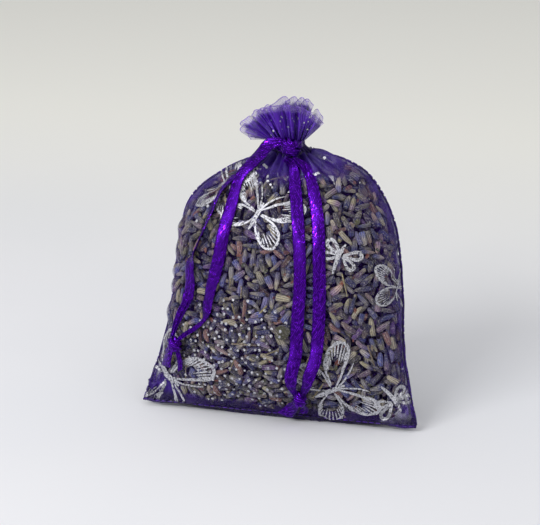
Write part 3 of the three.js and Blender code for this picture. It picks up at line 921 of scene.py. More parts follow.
def bud_tints(chance):
    """Tints of a bud at its stalk and at its mouth."""
    pick = chance.random()
    if pick < ODD_SHARE:
        tone = chance.choice(ODD_TONES)
        return ink(*tone), ink(*[c * 0.86 for c in tone])
    stalk = chance.choice(STALK_TONES)
    mouth = chance.choice(MOUTH_TONES)
    if pick > 1 - DARK_SHARE:
        stalk = chance.choice(MOUTH_TONES)
    glow = chance.uniform(0.54, 1.2)
    return ink(*[min(c * glow, 255) for c in stalk]), ink(*[min(c * glow, 255) for c in mouth])


def heap(name, laid, seed):
    """All the buds of one heap as one piece, each with its own tint."""
    chance = random.Random(seed)
    bm = bmesh.new()
    for place in laid:
        copy = chance.choice(buds).copy()
        stalk, mouth = bud_tints(chance)
        turn_over = chance.uniform(0.3, 0.62)
        for vert, point in zip(copy.vertices, copy.color_attributes["tint"].data):
            mix = soft_step(turn_over - 0.25, turn_over + 0.25, vert.co.z / (BUD_LENGTH * MM) + 0.5)
            point.color = [lerp(a, b, mix) for a, b in zip(stalk, mouth)]
        copy.transform(place)
        bm.from_mesh(copy)
        bpy.data.meshes.remove(copy)
    make_piece(name, bm, dried_bud)


heap("front_buds", front_laid, 21)
heap("back_buds", back_laid, 22)
heap("broken_buds", front_bits + back_bits, 23)
print("heaped buds", len(front_laid + back_laid + front_bits + back_bits))

# %% [markdown]
# ### Stems and chaff
#
# Between the buds lie bits of stem, scraps of leaf and reddish crumbs. They are light and end up against
# the cloth, so they are laid just under it, over the buds. A stem is a thin cone and a scrap is a small
# bent patch.


# %% Stems and chaff
def tinted(name, shapes):
    """Small shapes as one piece, each with one tint all over."""
    bm = bmesh.new()
    for mesh, tone in shapes:
        for point in mesh.color_attributes.new("tint", "FLOAT_COLOR", "POINT").data:
            point.color = ink(*tone)
        bm.from_mesh(mesh)
        bpy.data.meshes.remove(mesh)
    make_piece(name, bm, dried_bud)


def stem_mesh(place, length, radius):
    bm = bmesh.new()
    bm.loops.layers.uv.new("UVMap")
    bmesh.ops.create_cone(
        bm, cap_ends=True, segments=5, radius1=radius * MM, radius2=radius * 0.8 * MM, depth=length * MM
    )
    bmesh.ops.transform(bm, matrix=place, verts=bm.verts)
    return mesh_from("stem", bm)


def scrap_mesh(place, length, breadth, seed):
    def bent(across, along):
        taper = math.sin(math.pi * lerp(0.12, 0.95, along)) ** 0.6 * (1 + 0.3 * wave(seed, along * 4))
        dent = 0.25 * wave(seed + 1, across * 2, along * 3)
        return Vector(((across - 0.5) * breadth * taper, dent, (along - 0.5) * length))

    bm = cloth_mesh(3, 4, bent, (breadth, length))
    bmesh.ops.transform(bm, matrix=place, verts=bm.verts)
    return mesh_from("scrap", bm)


STEM_TONES = [(152, 140, 96), (128, 118, 84), (112, 98, 76), (160, 148, 112)]
SCRAP_TONES = [(112, 112, 62), (86, 92, 54), (150, 84, 62), (172, 104, 76), (120, 62, 60), (168, 150, 118)]


CHAFF_ROOM = 0.15 * MM


def under_front(chance, depth, length):
    """A place just under the front cloth for something of a length that lies along it, or None."""
    polygon = chance.choice(front_panel.data.polygons)
    centre = polygon.center - polygon.normal * depth * MM
    lie = Vector([chance.gauss(0, 1) for _ in range(3)])
    lie = (lie - polygon.normal * lie.dot(polygon.normal)).normalized()
    for end in (centre - lie * length / 2 * MM, centre + lie * length / 2 * MM):
        near, normal, _, _ = front_tree.find_nearest(end)
        outside = (end - near).dot(normal) > -CHAFF_ROOM or not between_panels(end)
        if outside or end.z > fill_level(end.x) or in_an_ear(end):
            return None
    side = polygon.normal.cross(lie)
    turn = Matrix((side, polygon.normal, lie)).transposed()
    return Matrix.Translation(centre) @ turn.to_4x4()


STEMS = 20
SCRAPS = 180
LEAF_TONE = (104, 104, 66)
loose = random.Random(31)
shapes = []
while len(shapes) < STEMS:
    length = loose.uniform(3.5, 9)
    place = under_front(loose, 0.55, length)
    if place:
        shapes.append((stem_mesh(place, length, loose.uniform(0.2, 0.36)), loose.choice(STEM_TONES)))
while len(shapes) < STEMS + SCRAPS:
    length = loose.uniform(0.9, 2.4)
    place = under_front(loose, 0.5, length)
    if place:
        mesh = scrap_mesh(place, length, length * loose.uniform(0.35, 0.8), loose.randrange(99))
        shapes.append((mesh, loose.choice(SCRAP_TONES)))
leaf_at, _ = seen_from_front(front_tree, 3.5, 31.5)
leaf_turn = Matrix.Translation(leaf_at + Vector((0, 0.35, 0)) * MM) @ Matrix.Rotation(1.1, 4, "Y")
shapes.append((scrap_mesh(leaf_turn, 5.2, 4.4, 7), LEAF_TONE))
tinted("stems_and_chaff", shapes)
print("stems and chaff", len(shapes))

# %% [markdown]
# ### The packed middle
#
# Between the buds one looks into dark gaps, not through to the other side. A core of packed buds and dust
# fills the middle, coloured near black as painted shade of the deep gaps. It is the bag's own shape drawn


# %% Packed core
CORE_DEPTH = 5.4
CORE_ROUNDING = 0.08
CORE_FOOT = 5.0


def core_grid(middle_line, other_line):
    facing = 1 if middle_line is front_line else -1

    def place(across, along):
        turn = facing * (across - 0.5) * math.pi * 0.82
        up = lerp(0.1, 0.84, along)
        here = bag_point(middle_line, turn, up)
        inwards = bag_point(other_line, turn, up) - here
        step = min(CORE_DEPTH, 0.46 * inwards.length)
        point = here + inwards.normalized() * step
        closing = min(along / CORE_ROUNDING, (1 - along) / CORE_ROUNDING, 1)
        point.y = lerp(here.y + inwards.y / 2, point.y, math.sqrt(closing))
        edge = soft_step(0.5, 0.42, abs(across - 0.5))
        point.y = lerp(here.y + inwards.y / 2, point.y, math.sqrt(edge))
        point.x *= 0.95
        point.z = max(point.z, CORE_FOOT) + 0.5 * wave(5, across * 30, along * 30)
        return point

    return mesh_from("core_half", cloth_mesh(40, 40, place, PANEL_SIZE))


core_bm = bmesh.new()
core_bm.from_mesh(core_grid(front_line, back_line))
core_bm.from_mesh(core_grid(back_line, front_line))
weld(core_bm, 0.7)
bmesh.ops.recalc_face_normals(core_bm, faces=core_bm.faces)
core_in_painted_shade = Finish("packed core in painted shade", Roughness=0.95, Specular_IOR_Level=0.1)
crumbs = core_in_painted_shade.speckle(core_in_painted_shade.place(), 700.0, 4.0)
# Painted shade: the core is coloured near black, with paler crumbs.
core_in_painted_shade.paint("Base Color", core_in_painted_shade.blend(crumbs.ramp(0.4, 0.75), ink(22, 19, 30), ink(66, 58, 66)))
core_in_painted_shade.bump(crumbs, 0.6 * MM)
packed_core = make_piece("packed_core", core_bm, core_in_painted_shade)
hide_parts("lavender_fill")
print("core", len(packed_core.data.polygons), "faces")

# %% [markdown]
# ## Foil print
#
# The cloth is printed with silver foil: butterflies drawn in broad lines, and a field of dots. Each motif
# is drawn flat in millimetres, stroke by stroke, and then laid on the cloth by rays shot at it. A wing is
# a drop-shaped loop with short strokes inside its rim. Foil rubs off in specks, so its Alpha has small
# holes.

# %% Foil finish
foil = Finish("silver foil", Metallic=0.6, Specular_IOR_Level=0.5)
foil_grain = foil.speckle(foil.place(), 3200.0, 3.0)
foil.paint("Base Color", foil.blend(foil_grain.ramp(0.35, 0.65), ink(140, 140, 150), ink(212, 212, 216)))
foil.paint("Roughness", foil_grain.ramp(0.3, 0.7, 0.4, 0.6))
foil.paint("Alpha", foil.speckle(foil.place(), 1500.0, 4.0).ramp(0.36, 0.46, 0.15, 1.0))
foil.bump(foil_grain, 0.08 * MM, 0.8)
print("foil ready")


# %% Strokes and wings
def stroke(bm, points, width, seed=0):
    """A brush stroke through flat points in millimetres, thin at its ends."""
    last = len(points) - 1
    made = bmesh.ops.create_grid(bm, x_segments=1, y_segments=last, size=0.5)
    for vert in made["verts"]:
        i = round((vert.co.y + 0.5) * last)
        ahead = points[min(i + 1, last)] - points[max(i - 1, 0)]
        side = Vector((-ahead.y, ahead.x)).normalized()
        half = width / 2 * (0.35 + 0.65 * math.sin(math.pi * i / last) ** 0.5)
        half *= 1 + 0.25 * wave(seed, i * 0.9)
        spot = points[i] + side * half * (1 if vert.co.x > 0 else -1)
        vert.co = Vector((*spot, 0))


def turned(point, angle):
    x = point.x * math.cos(angle) - point.y * math.sin(angle)
    y = point.x * math.sin(angle) + point.y * math.cos(angle)
    return Vector((x, y))


def loop_wing(bm, length, breadth, heading, width):
    """A drop-shaped loop from the motif's middle."""

    def rim(t):
        belly = (0.5 - 0.5 * math.cos(t)) ** 1.1
        return Vector((length * (0.5 - 0.5 * math.cos(t)), breadth / 2 * math.sin(t) * belly))

    ends = (0.5, 2 * math.pi - 0.5)
    stroke(bm, [turned(rim(lerp(*ends, i / 30)), heading) for i in range(31)], width, heading)


UPPER_WING = [
    (0.06, 0.02), (0.26, 0.2), (0.5, 0.48), (0.46, 0.62), (0.24, 0.6), (0.08, 0.42), (0.02, 0.08),
]
LOWER_WING = [
    (0, 0.06), (-0.02, 0.36), (-0.14, 0.52), (-0.34, 0.54), (-0.42, 0.4), (-0.3, 0.16), (-0.1, 0.03),
]


def hatched_wing(bm, outline, size, side, width, hatches):
    """A wing's outline with short strokes inside its rim, on one side of the body."""
    rim = Line([(x * size, y * size * side, 0) for x, y in outline])
    root = rim.at(0).lerp(rim.at(1), 0.5).xy
    stroke(bm, [rim.at(i / 34).xy for i in range(35)], width, side)
    for i in range(hatches):
        start = rim.at(lerp(0.24, 0.8, (i + 0.5) / hatches)).xy
        inner = start.lerp(root, 0.34 + 0.22 * wave(side, i * 2.7))
        stroke(bm, [start.lerp(inner, k / 4) for k in range(5)], width * 0.5, i)


def feeler(bm, length, heading, curl, width):
    points = [Vector((length * k / 8, curl * (k / 8) ** 2)) for k in range(9)]
    stroke(bm, [turned(point, heading) for point in points], width, curl)


print("wings drawn through", len(UPPER_WING), "stops")

# %% Butterfly and dragonfly
HATCHES = 15


def butterfly(bm, size):
    for side in (1, -1):
        hatched_wing(bm, UPPER_WING, size, side, size * 0.046, HATCHES)
        hatched_wing(bm, LOWER_WING, size, side, size * 0.042, HATCHES - 4)
        feeler(bm, size * 0.5, side * 0.12, side * size * 0.2, size * 0.03)
    stroke(bm, [Vector((lerp(-0.3, 0.2, k / 6) * size, 0)) for k in range(7)], size * 0.08)


def dragonfly(bm, size):
    for side in (1, -1):
        loop_wing(bm, size * 0.5, size * 0.3, side * 1.15, size * 0.09)
        loop_wing(bm, size * 0.44, size * 0.26, side * 2.0, size * 0.08)
    body = [Vector((lerp(-0.5, 0.3, k / 8) * size, 0.06 * size * math.sin(k / 3))) for k in range(9)]
    stroke(bm, body, size * 0.1)


print("motifs drawn with", HATCHES, "hatches to a wing")


# %% Lay the motifs on the cloth
def cloth_normal(point, reach=2):
    """The front cloth's direction near a point, evened out over a reach to each side."""
    total = Vector((0, 0, 0))
    for x in (-reach, 0, reach):
        for z in (-reach, 0, reach):
            _, normal, _, _ = front_tree.find_nearest((point + Vector((x, 0, z))) * MM)
            total += normal if normal.y < 0 else -normal
    return total.normalized()


PRINT_REACH = 3.5
DROP_HEIGHT = 12 * MM
DROP_REACH = 30 * MM


def to_cloth(x, z, over=0.14):
    """A way to drop flat points on the cloth round a place of the front, to lie a little over it."""
    middle, _ = seen_from_front(front_tree, x, z)
    normal = cloth_normal(middle / MM, PRINT_REACH)
    side = Vector((1, 0, 0)) - normal * normal.x
    side.normalize()
    up = -side.cross(normal)

    def drop(point):
        start = middle + (side * point.x + up * point.y) * MM + normal * DROP_HEIGHT
        hit, facing, _, _ = front_tree.ray_cast(start, -normal, DROP_REACH)
        if hit is None:
            hit, facing, _, _ = front_tree.find_nearest(start - normal * DROP_HEIGHT)
        facing = facing if facing.dot(normal) > 0 else -facing
        return hit + facing * over * MM

    return drop


# What is drawn, its place across and up the front, its size in millimetres and its turn.
MOTIFS = [
    (butterfly, (-6.8, 67), 19, 1.1),
    (butterfly, (19.5, 13.5), 21, 0.45),
    (butterfly, (-36.5, 11), 24, -0.6),
    (butterfly, (36.6, 44.5), 13.5, 1.9),
    (butterfly, (-19, 74), 16, 2.6),
    (dragonfly, (20.6, 56), 12.5, 1.2),
    (dragonfly, (37.8, 9.5), 13, -0.9),
]
prints = bmesh.new()
for draw, flat, size, spin in MOTIFS:
    motif = bmesh.new()
    draw(motif, size)
    bmesh.ops.subdivide_edges(motif, edges=motif.edges, cuts=1, use_grid_fill=True)
    drop = to_cloth(*flat)
    for vert in motif.verts:
        vert.co = drop(turned(vert.co.xy, spin))
    prints.from_mesh(mesh_from("motif", motif))
make_piece("foil_butterflies", prints, foil)
print("foil motifs", len(MOTIFS))

# %% Foil dots
DOT_PITCH = 2.5
DOT_ROWS = 16
DOT_COLUMNS = 17
DOT_STRAY = 0.7
DOTS_START = (-33, 5)
DOTS_MIDDLE = (-14, 22)
DOTS_REACH = 22
scatter = random.Random(41)
spots = []
for row in range(DOT_ROWS):
    for column in range(DOT_COLUMNS):
        x = DOTS_START[0] + (column + 0.5 * (row % 2)) * DOT_PITCH + scatter.uniform(-DOT_STRAY, DOT_STRAY)
        z = DOTS_START[1] + row * DOT_PITCH + scatter.uniform(-DOT_STRAY, DOT_STRAY)
        inside = 1 - ((x - DOTS_MIDDLE[0]) / DOTS_REACH) ** 2 - ((z - DOTS_MIDDLE[1]) / DOTS_REACH) ** 2
        if scatter.random() < 0.25 + inside:
            spots.append((x, z))
spots += [(scatter.uniform(-12, 12), scatter.uniform(75, 83)) for _ in range(16)]
spots += [(scatter.uniform(-30, -20), scatter.uniform(62, 72)) for _ in range(9)]
dots = bmesh.new()
for x, z in spots:
    drop = to_cloth(x, z, 0.16)
    made = bmesh.ops.create_circle(dots, cap_ends=True, segments=9, radius=scatter.uniform(0.4, 0.54))
    for vert in made["verts"]:
        vert.co = drop(vert.co.xy)
make_piece("foil_dots", dots, foil)
print("foil dots", len(spots))

# %% [markdown]
# ## Satin ribbons
#
# Each drawstring is one satin ribbon, 4 mm wide, and both of its ends leave the neck knot, run down the
# front and are tied together at the bottom. A strand is a flat strip that follows stops measured on the
# front of the bag. It lies on the cloth, narrows where a knot grips it, and the outer left one turns on
# its edge half way down.

# %% Satin finish
satin = Finish("purple satin", Metallic=0.95, Specular_IOR_Level=0.5)
satin_chart = satin.place("UV")
satin_x = satin.part(satin_chart, "X")
satin_y = satin.part(satin_chart, "Y")
slanted = satin.node("ShaderNodeCombineXYZ", None, {0: satin_x * 1.5 + satin_y * 0.4, 1: satin_y * 0.9})
patches = satin.speckle(slanted, 1.0, 2.0)
twill = ((satin_x * 1.7 + satin_y * 0.9 + patches * 0.6) * (2 * math.pi)).sine() * 0.5 + 0.5
dashes = twill.ramp(0.4, 0.75) * patches.ramp(0.44, 0.56)
satin.paint("Base Color", satin.blend(dashes, ink(50, 4, 108), ink(110, 22, 206)))
satin.paint("Roughness", dashes.ramp(0.0, 0.8, 0.34, 0.1))
satin.bump(dashes, 0.1 * MM, 1.0)
print("satin ready")

# %% Ribbon strips
RIBBON_WIDTH = 4.0
RIBBON_LIFT = 0.55
RIBBON_ROWS = 1.6


def on_front(x, z, more=0.0):
    """A point over the front cloth for a ribbon's middle, in millimetres."""
    hit, normal = seen_from_front(front_tree, x, z)
    return hit / MM + normal * (RIBBON_LIFT + more)


def between(stops, share):
    """The value at a share of the way, eased from stop to stop."""
    for (start, first), (end, second) in zip(stops, stops[1:]):
        if share <= end:
            return lerp(first, second, soft_step(start, end, share))
    return stops[-1][1]


def ribbon_mesh(line, manner, cut=0.0):
    """A strip of ribbon along a line, cut aslant at a free end.

    Its manner gives its width, twist and lift by the share of the way, the way it faces at its start, and the
    share of the way by which it lies on the cloth.
    """
    rows = max(14, round(line.length * RIBBON_ROWS))
    start_face = Vector(manner.get("face", (0, -0.85, 0.5)))
    normals = []
    for i in range(rows + 1):
        share = i / rows
        settled = soft_step(0, manner.get("turned", 0.16), share)
        normals.append(start_face.lerp(cloth_normal(line.at(share)), settled))
    stations = []
    for i in range(rows + 1):
        share = i / rows
        normal = sum(normals[max(0, i - 3):i + 4], Vector())
        heading = line.heading(share)
        across = normal.cross(heading).normalized()
        across = Matrix.Rotation(between(manner["twist"], share), 3, heading) @ across
        out = heading.cross(across)
        centre = line.at(share) + normal.normalized() * between(manner.get("lift", [(0, 0), (1, 0)]), share)
        stations.append((centre, across * between(manner["width"], share), out))

    def place(across, along):
        spot = along * (1 - cut * across / line.length) * rows
        i = min(int(spot), rows - 1)
        centre, side, out = [a.lerp(b, spot - i) for a, b in zip(stations[i], stations[i + 1])]
        crown = 0.25 * (1 - (2 * across - 1) ** 2)
        crease = 0.55 * max(0.0, 1 - side.length) * math.cos(across * 4 * math.pi)
        ripple = 0.1 * wave(across * 0.2, along * line.length * 0.35, across * 2)
        return centre + side * ((across - 0.5) * RIBBON_WIDTH) + out * (crown + crease + ripple)

    return cloth_mesh(10, rows, place, (RIBBON_WIDTH, line.length))


def thicken(piece, thickness):
    wall = piece.modifiers.new("thickness", "SOLIDIFY")
    wall.thickness = thickness * MM
    wall.offset = 0


print("ribbon kit ready")

# %% Routes of the strands and tails, in millimetres
# A stop is a place across and up the front, and how far it lies off the cloth beyond a ribbon's own lift.
ROUTES = {
    "left_ribbon_inner": [
        (-14.3, 75.9, 0.6), (-15.9, 68.2), (-17.3, 60.2), (-18.3, 51.9), (-20.3, 43.5), (-21.3, 38),
        (-22.4, 32.8), (-25.4, 29.6), (-29, 27, 0.6), (-31, 24.4, 1.5),
    ],
    "left_ribbon_outer": [
        (-14.8, 77.2, -0.25), (-18.2, 74.5, -0.1), (-20.6, 71), (-22.9, 64.6), (-25.8, 56.1), (-28.4, 48.7),
        (-28, 43), (-28.8, 38.2), (-31.6, 32.6), (-32.8, 28, 0.7), (-32.8, 24.4, 1.5),
    ],
    "right_ribbon_inner": [
        (1.4, 81, 0.4), (4.1, 74.3), (6.4, 64.8), (8, 55.2), (8.6, 45), (8.4, 36), (8.3, 30, 0.3),
        (8.2, 24.6, 1.9), (7.6, 19.6, 3.6), (7.4, 16.4, 3.2), (7.6, 14.2, 2.2), (8.3, 12, 1.5),
    ],
    "right_ribbon_outer": [
        (7.4, 79.4, 0.2), (9.9, 74), (12.6, 65), (13.9, 55.4), (14.7, 45.2), (14.9, 36), (14.8, 30, 0.3),
        (14.4, 24.6, 2.0), (12.9, 19.6, 3.8), (11.7, 16.4, 3.3), (11, 14.2, 2.3), (10.3, 12, 1.5),
    ],
    "left_tail_inner": [(-31.2, 22.2, 1.5), (-30.8, 18.4, 0.6), (-31.2, 13.4)],
    "left_tail_outer": [(-33.2, 22.2, 1.5), (-34.6, 18.6, 0.8), (-36, 14)],
    "right_tail_inner": [(8.2, 10, 1.5), (6, 7.2, 1), (2.8, 4.6, 1.8)],
    "right_tail_outer": [(10.1, 9.8, 1.7), (10, 6.8, 1.2), (8.8, 4.2, 2)],
}
print("routes", len(ROUTES))

# %% How each strand lies, and the strands
NECK_KNOT_AT = Vector((0, -1.55, 87.25))
# The first stops of the strands that leave the neck knot, from the knot's place.
LEAVING = {
    "left_ribbon_inner": [(-0.4, -1.0, 1.9), (-4.8, -0.6, 0.6), (-7.2, -0.5, -2.2), (-10.8, 0.9, -6)],
    "right_ribbon_inner": [(0.2, -0.4, -3.6)],
    "right_ribbon_outer": [(2.6, -0.3, -3.3)],
}
MANNERS = {
    "left_ribbon_inner": {
        "width": [(0, 0.6), (0.06, 0.95), (0.2, 1), (0.8, 1), (0.86, 0.5), (1, 0.36)],
        "twist": [(0, 0), (0.3, 0.15), (0.55, -0.35), (0.78, 0.25), (0.86, 0.7), (1, 0.3)],
        "face": (0.1, -0.9, 0.35),
        "turned": 0.45,
    },
    "left_ribbon_outer": {
        "width": [(0, 0.75), (0.3, 0.85), (0.55, 1), (0.7, 1), (0.8, 0.7), (1, 0.36)],
        "twist": [(0, 0.3), (0.2, 0.6), (0.48, 1.1), (0.58, 0.1), (0.7, 0), (0.79, -1.0), (1, -0.4)],
        "face": (-0.5, -0.8, 0.4),
    },
    "right_ribbon_inner": {
        "width": [(0, 0.5), (0.07, 0.9), (0.2, 1), (0.9, 1), (1, 0.4)],
        "twist": [(0, 0.3), (0.2, 0), (0.5, 0.12), (0.75, -0.1), (1, 0)],
    },
    "right_ribbon_outer": {
        "width": [(0, 0.4), (0.08, 0.85), (0.2, 1), (0.88, 1), (1, 0.4)],
        "twist": [(0, -0.2), (0.2, 0), (0.6, -0.12), (0.8, 0.1), (0.9, 0.35), (1, 0.2)],
    },
}
# A tail opens out from its knot, or stays folded along its length.
BROAD_TAIL = {
    "width": [(0, 0.45), (0.35, 0.95), (1, 1.15)],
    "twist": [(0, 0), (0.5, 0.2), (1, 0.1)],
    "lift": [(0, 0.3), (1, 1.0)],
}
FOLDED_TAIL = {"width": [(0, 0.36), (0.5, 0.6), (1, 0.5)], "twist": [(0, 0), (1, 0.3)]}
BROAD_TAILS = ("left_tail_outer", "right_tail_inner")
TAIL_CUT = 2.0
RIBBON_THICKNESS = 0.22
# A stretch along a strand that leaves the knot, in millimetres.
BEND = (3, 12)


def route_line(name):
    stops = [NECK_KNOT_AT + Vector(stop) for stop in LEAVING.get(name, [])]
    return Line(stops + [on_front(*stop) for stop in ROUTES[name]])


lines = {name: route_line(name) for name in ROUTES}
strips = {}
for name, line in lines.items():
    body = "left_tail" if name.startswith("left") else "right_tail"
    if "tail" in name:
        bm = ribbon_mesh(line, BROAD_TAIL if name in BROAD_TAILS else FOLDED_TAIL, TAIL_CUT)
    else:
        bm = ribbon_mesh(line, MANNERS[name])
    bend = [line.at(reach / line.length) * MM for reach in BEND] if name in LEAVING else None
    strips[name] = make_piece(name + "_satin", bm, satin, body, bend)
    thicken(strips[name], RIBBON_THICKNESS)
    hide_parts(name)
    print(name, round(line.length, 1), "mm")

# %% [markdown]
# ### Knots
#
# A knot is ribbon wrapped over ribbon. Its middle is a crumpled core, and turns of ribbon cross over it
# at an angle, each a band that stands out a little and has creases along it. Bands like these read as a
# knot from every side, which a rounded lump doesn't.


# %% Knots
def knot_core(bm, half, seed):
    made = bmesh.ops.create_uvsphere(bm, u_segments=28, v_segments=18, radius=1)
    for vert in made["verts"]:
        x, _, z = vert.co
        folds = 0.08 * math.sin(x * 6 + z * 7 + seed) + 0.08 * wave(seed, x * 3, z * 3)
        vert.co = Vector(a * b for a, b in zip(vert.co * (0.84 + folds), half)) * MM


def knot_turn(half, tilt, width, rise, seed):
    """A turn of ribbon round a knot, as a flat loop with rounded edges, tilted in the front view."""

    def place(across, along):
        angle = along * 2 * math.pi
        edge = across * 2 * math.pi
        breadth = width * (1 + 0.22 * math.sin(angle * 2 + seed))
        out = rise + 0.14 * math.sin(edge) + 0.05 * math.cos(edge * 3 + angle * 2)
        ring = Vector((math.cos(angle) * half[0] * out, math.sin(angle) * half[1] * out, 0))
        ring.z = math.cos(edge) * breadth / 2 + 0.25 * math.sin(angle + seed)
        return Matrix.Rotation(tilt, 3, "Y") @ ring

    return mesh_from("turn", cloth_mesh(14, 48, place, (2 * width, 2 * math.pi * half[0])))


def make_knot(node, body, at, half, turns, lean, seed):
    """The piece that stands for a knot's node. Each turn has a tilt, a width and a rise."""
    bm = bmesh.new()
    bm.loops.layers.uv.new("UVMap")
    knot_core(bm, half, seed)
    for tilt, width, rise in turns:
        bm.from_mesh(knot_turn(half, tilt, width, rise, seed + tilt))
    weld(bm, 0.005)
    place = Matrix.Translation(at * MM) @ Matrix.Rotation(lean, 4, "Y")
    bmesh.ops.transform(bm, matrix=place, verts=bm.verts)
    piece = make_piece(node + "_satin", bm, satin, body)
    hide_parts(node)
    return piece


def knot_at(node):
    """The middle of a node's box, in millimetres."""
    low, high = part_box(node)
    return (Vector(low) + Vector(high)) / 2 / MM


NECK_HALF = (2.9, 1.95, 2.5)
END_HALF = (2.3, 1.6, 3.1)
KNOT_ASIDE = Vector((1.7, 0, 0))
NECK_TURNS = [(0.75, 2.5, 1.06), (-0.55, 2.2, 0.94), (1.5, 1.6, 0.9)]
END_TURNS = [(0.7, 2.3, 1.05), (-0.6, 2.0, 0.92)]
make_knot("neck_knot", "bag", NECK_KNOT_AT + KNOT_ASIDE, NECK_HALF, NECK_TURNS, 0.0, 1)
end_knots = {}
for side, lean, seed in (("left", 0.2, 2), ("right", 0.1, 3)):
    node = f"{side}_end_knot"
    end_knots[side] = make_knot(node, f"{side}_tail", knot_at(node), END_HALF, END_TURNS, lean, seed)
    print(node, "at", [round(c, 1) for c in knot_at(node)])

for side, knot in end_knots.items():
    for strand in ("inner", "outer"):
        name = f"{side}_ribbon_{strand}"
        line = lines[name]
        count = max(15, round(line.length / 2))
        line.at(0) * MM
        [line.at(i / count) * MM for i in range(count + 1)]

# %% [markdown]
# ## Neck and ruffle
#
# Above the drawstring the cloth opens again into a ruffle, a flattened fan of pleats. The grid goes round
# the neck and up, and each pleat swings out and in as it rises. Its folds lean over each other, the tops
# of the pleats stand higher than the notches between them, and the rim is a folded edge. Its pale rim and
# the light and dark streaks along the pleats are painted light.

# %% Ruffle finish
RUFFLE_PITCH = 0.4
ruffle_cloth, ruffle_thread, ruffle_colour = organza(
    "ruffle organza", RUFFLE_PITCH, 0.34, ink(48, 9, 124), ink(88, 38, 178), 0.28
)
ruffle_chart = ruffle_cloth.place("UV")
ruffle_x = ruffle_cloth.part(ruffle_chart, "X")
ruffle_y = ruffle_cloth.part(ruffle_chart, "Y")
drawn = ruffle_cloth.node("ShaderNodeCombineXYZ", None, {0: ruffle_x * 1.5, 1: ruffle_y * 0.1})
streaks = ruffle_cloth.speckle(drawn, 1.0, 2.0)
sheer_lobe = ruffle_x.ramp(13, 6)
sheer_rim = (ruffle_y + streaks * 2).ramp(10.6, 11.8)
rim_line = ruffle_y.ramp(11.62, 11.8) * 0.4
thin = sheer_lobe.most(sheer_rim)
ruffle_body = (ruffle_thread * 0.12 + 0.86) * (1 - thin)
ruffle_cloth.paint("Alpha", ruffle_body + (ruffle_thread * 0.3 + 0.24 + rim_line) * thin)
# Painted light: light and dark streaks along the pleats stand for their sheen and shade.
painted_pleat_streaks = ruffle_cloth.blend(streaks.ramp(0.38, 0.66), ink(32, 3, 92), ink(96, 40, 190))
mixed = ruffle_cloth.blend(0.7, ruffle_colour, painted_pleat_streaks)
# The sheer lobe and rim really are thinner, in the Alpha, and their lilac paling is a painted glow of light
# through them.
ruffle_cloth.paint("Base Color", ruffle_cloth.blend(thin * 0.6, mixed, ink(140, 112, 200)))
print("ruffle finish ready")

# %% Ruffle halves
RUFFLE_PLEATS = 9
RUFFLE_SIZE = (90, 12)
RUFFLE_FOOT = 87.6
PLEAT_DEPTHS = (1.3, 4.0)
FINE_DEPTHS = (0.5, 0.62)
RIM_DEPTH = 2.8
FRONT_RIM = [(-12.6, 87), (-15, 91.4), (-11, 96.4), (-1.4, 99.4), (6.4, 97.4), (10, 93)]
BACK_RIM = [(-12.6, 87), (-13.2, 92.6), (-7.8, 97.6), (0.8, 99.2), (6.8, 97.6), (10, 93)]
NECK_PINCH = 4.3
NECK_FORWARD = 2.3


def ruffle_half(facing, stops, deep, seed):
    """Half of the ruffle, from its foot on the casing to a rim through stops."""
    rim = Line([(x, 0, z) for x, z in stops])

    def place(across, up):
        beat = 2 * math.pi * RUFFLE_PLEATS * (across + 0.7 * wave(seed, across * 7) / RUFFLE_PLEATS)
        crest = math.cos(beat)
        fine = math.cos(3 * beat + 4 * wave(seed + 8, across * 5))
        middle = math.sin(math.pi * across)
        lean = 0.4 * math.sin(beat) / RUFFLE_PLEATS + 0.02 * wave(seed + 2, across * 9)
        edge = rim.at(across + up * lean)
        foot = Vector((-NECK_PINCH * math.cos(math.pi * across), 0, RUFFLE_FOOT))
        point = foot.lerp(edge, up * (1 + 0.07 * crest + 0.02 * fine + 0.06 * wave(seed + 6, across * 11)))
        pleat = lerp(*PLEAT_DEPTHS, up ** 0.7) * (1 + 0.4 * wave(seed + 4, across * 9)) * (0.5 + 0.5 * crest)
        pleat += lerp(*FINE_DEPTHS, up) * fine
        depth = lerp(NECK_PINCH, RIM_DEPTH, soft_step(0, 0.7, up)) * middle
        depth += (0.4 + deep * pleat) * (0.3 + 0.7 * middle)
        depth *= soft_step(0, 0.05, min(across, 1 - across))
        point.y = NECK_BEHIND - NECK_FORWARD * (1 - 0.5 * up) + facing * depth
        return point

    def facing_out(across, up):
        return place(across if facing < 0 else 1 - across, up)

    return cloth_mesh(RUFFLE_PLEATS * 36, 26, facing_out, RUFFLE_SIZE)


front_ruffle = make_piece("front_ruffle_cloth", ruffle_half(-1, FRONT_RIM, 1.05, 3), ruffle_cloth)
back_ruffle = make_piece("back_ruffle_cloth", ruffle_half(1, BACK_RIM, 1.35, 5), ruffle_cloth)
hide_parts("front_ruffle")
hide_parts("back_ruffle")
for ruffle in (front_ruffle, back_ruffle):
    area = sum(polygon.area for polygon in ruffle.data.polygons)
    print(ruffle.name, "area", round(area * 1e6), "square mm")

# %% Foil specks on the ruffle
ruffle_tree = tree_of(front_ruffle)
specks = bmesh.new()
speck_spots = [(scatter.uniform(-7.5, 8), scatter.uniform(89.5, 96.5)) for _ in range(34)]
for x, z in speck_spots:
    hit, normal = seen_from_front(ruffle_tree, x, z)
    if hit is None:
        continue
    flat = Matrix.Translation(hit + normal * 0.12 * MM) @ normal.to_track_quat("Z", "Y").to_matrix().to_4x4()
    radius = scatter.uniform(0.14, 0.34) * MM
    bmesh.ops.create_circle(specks, cap_ends=True, segments=7, radius=radius, matrix=flat)
make_piece("foil_specks", specks, foil)
print("foil specks", len(speck_spots))
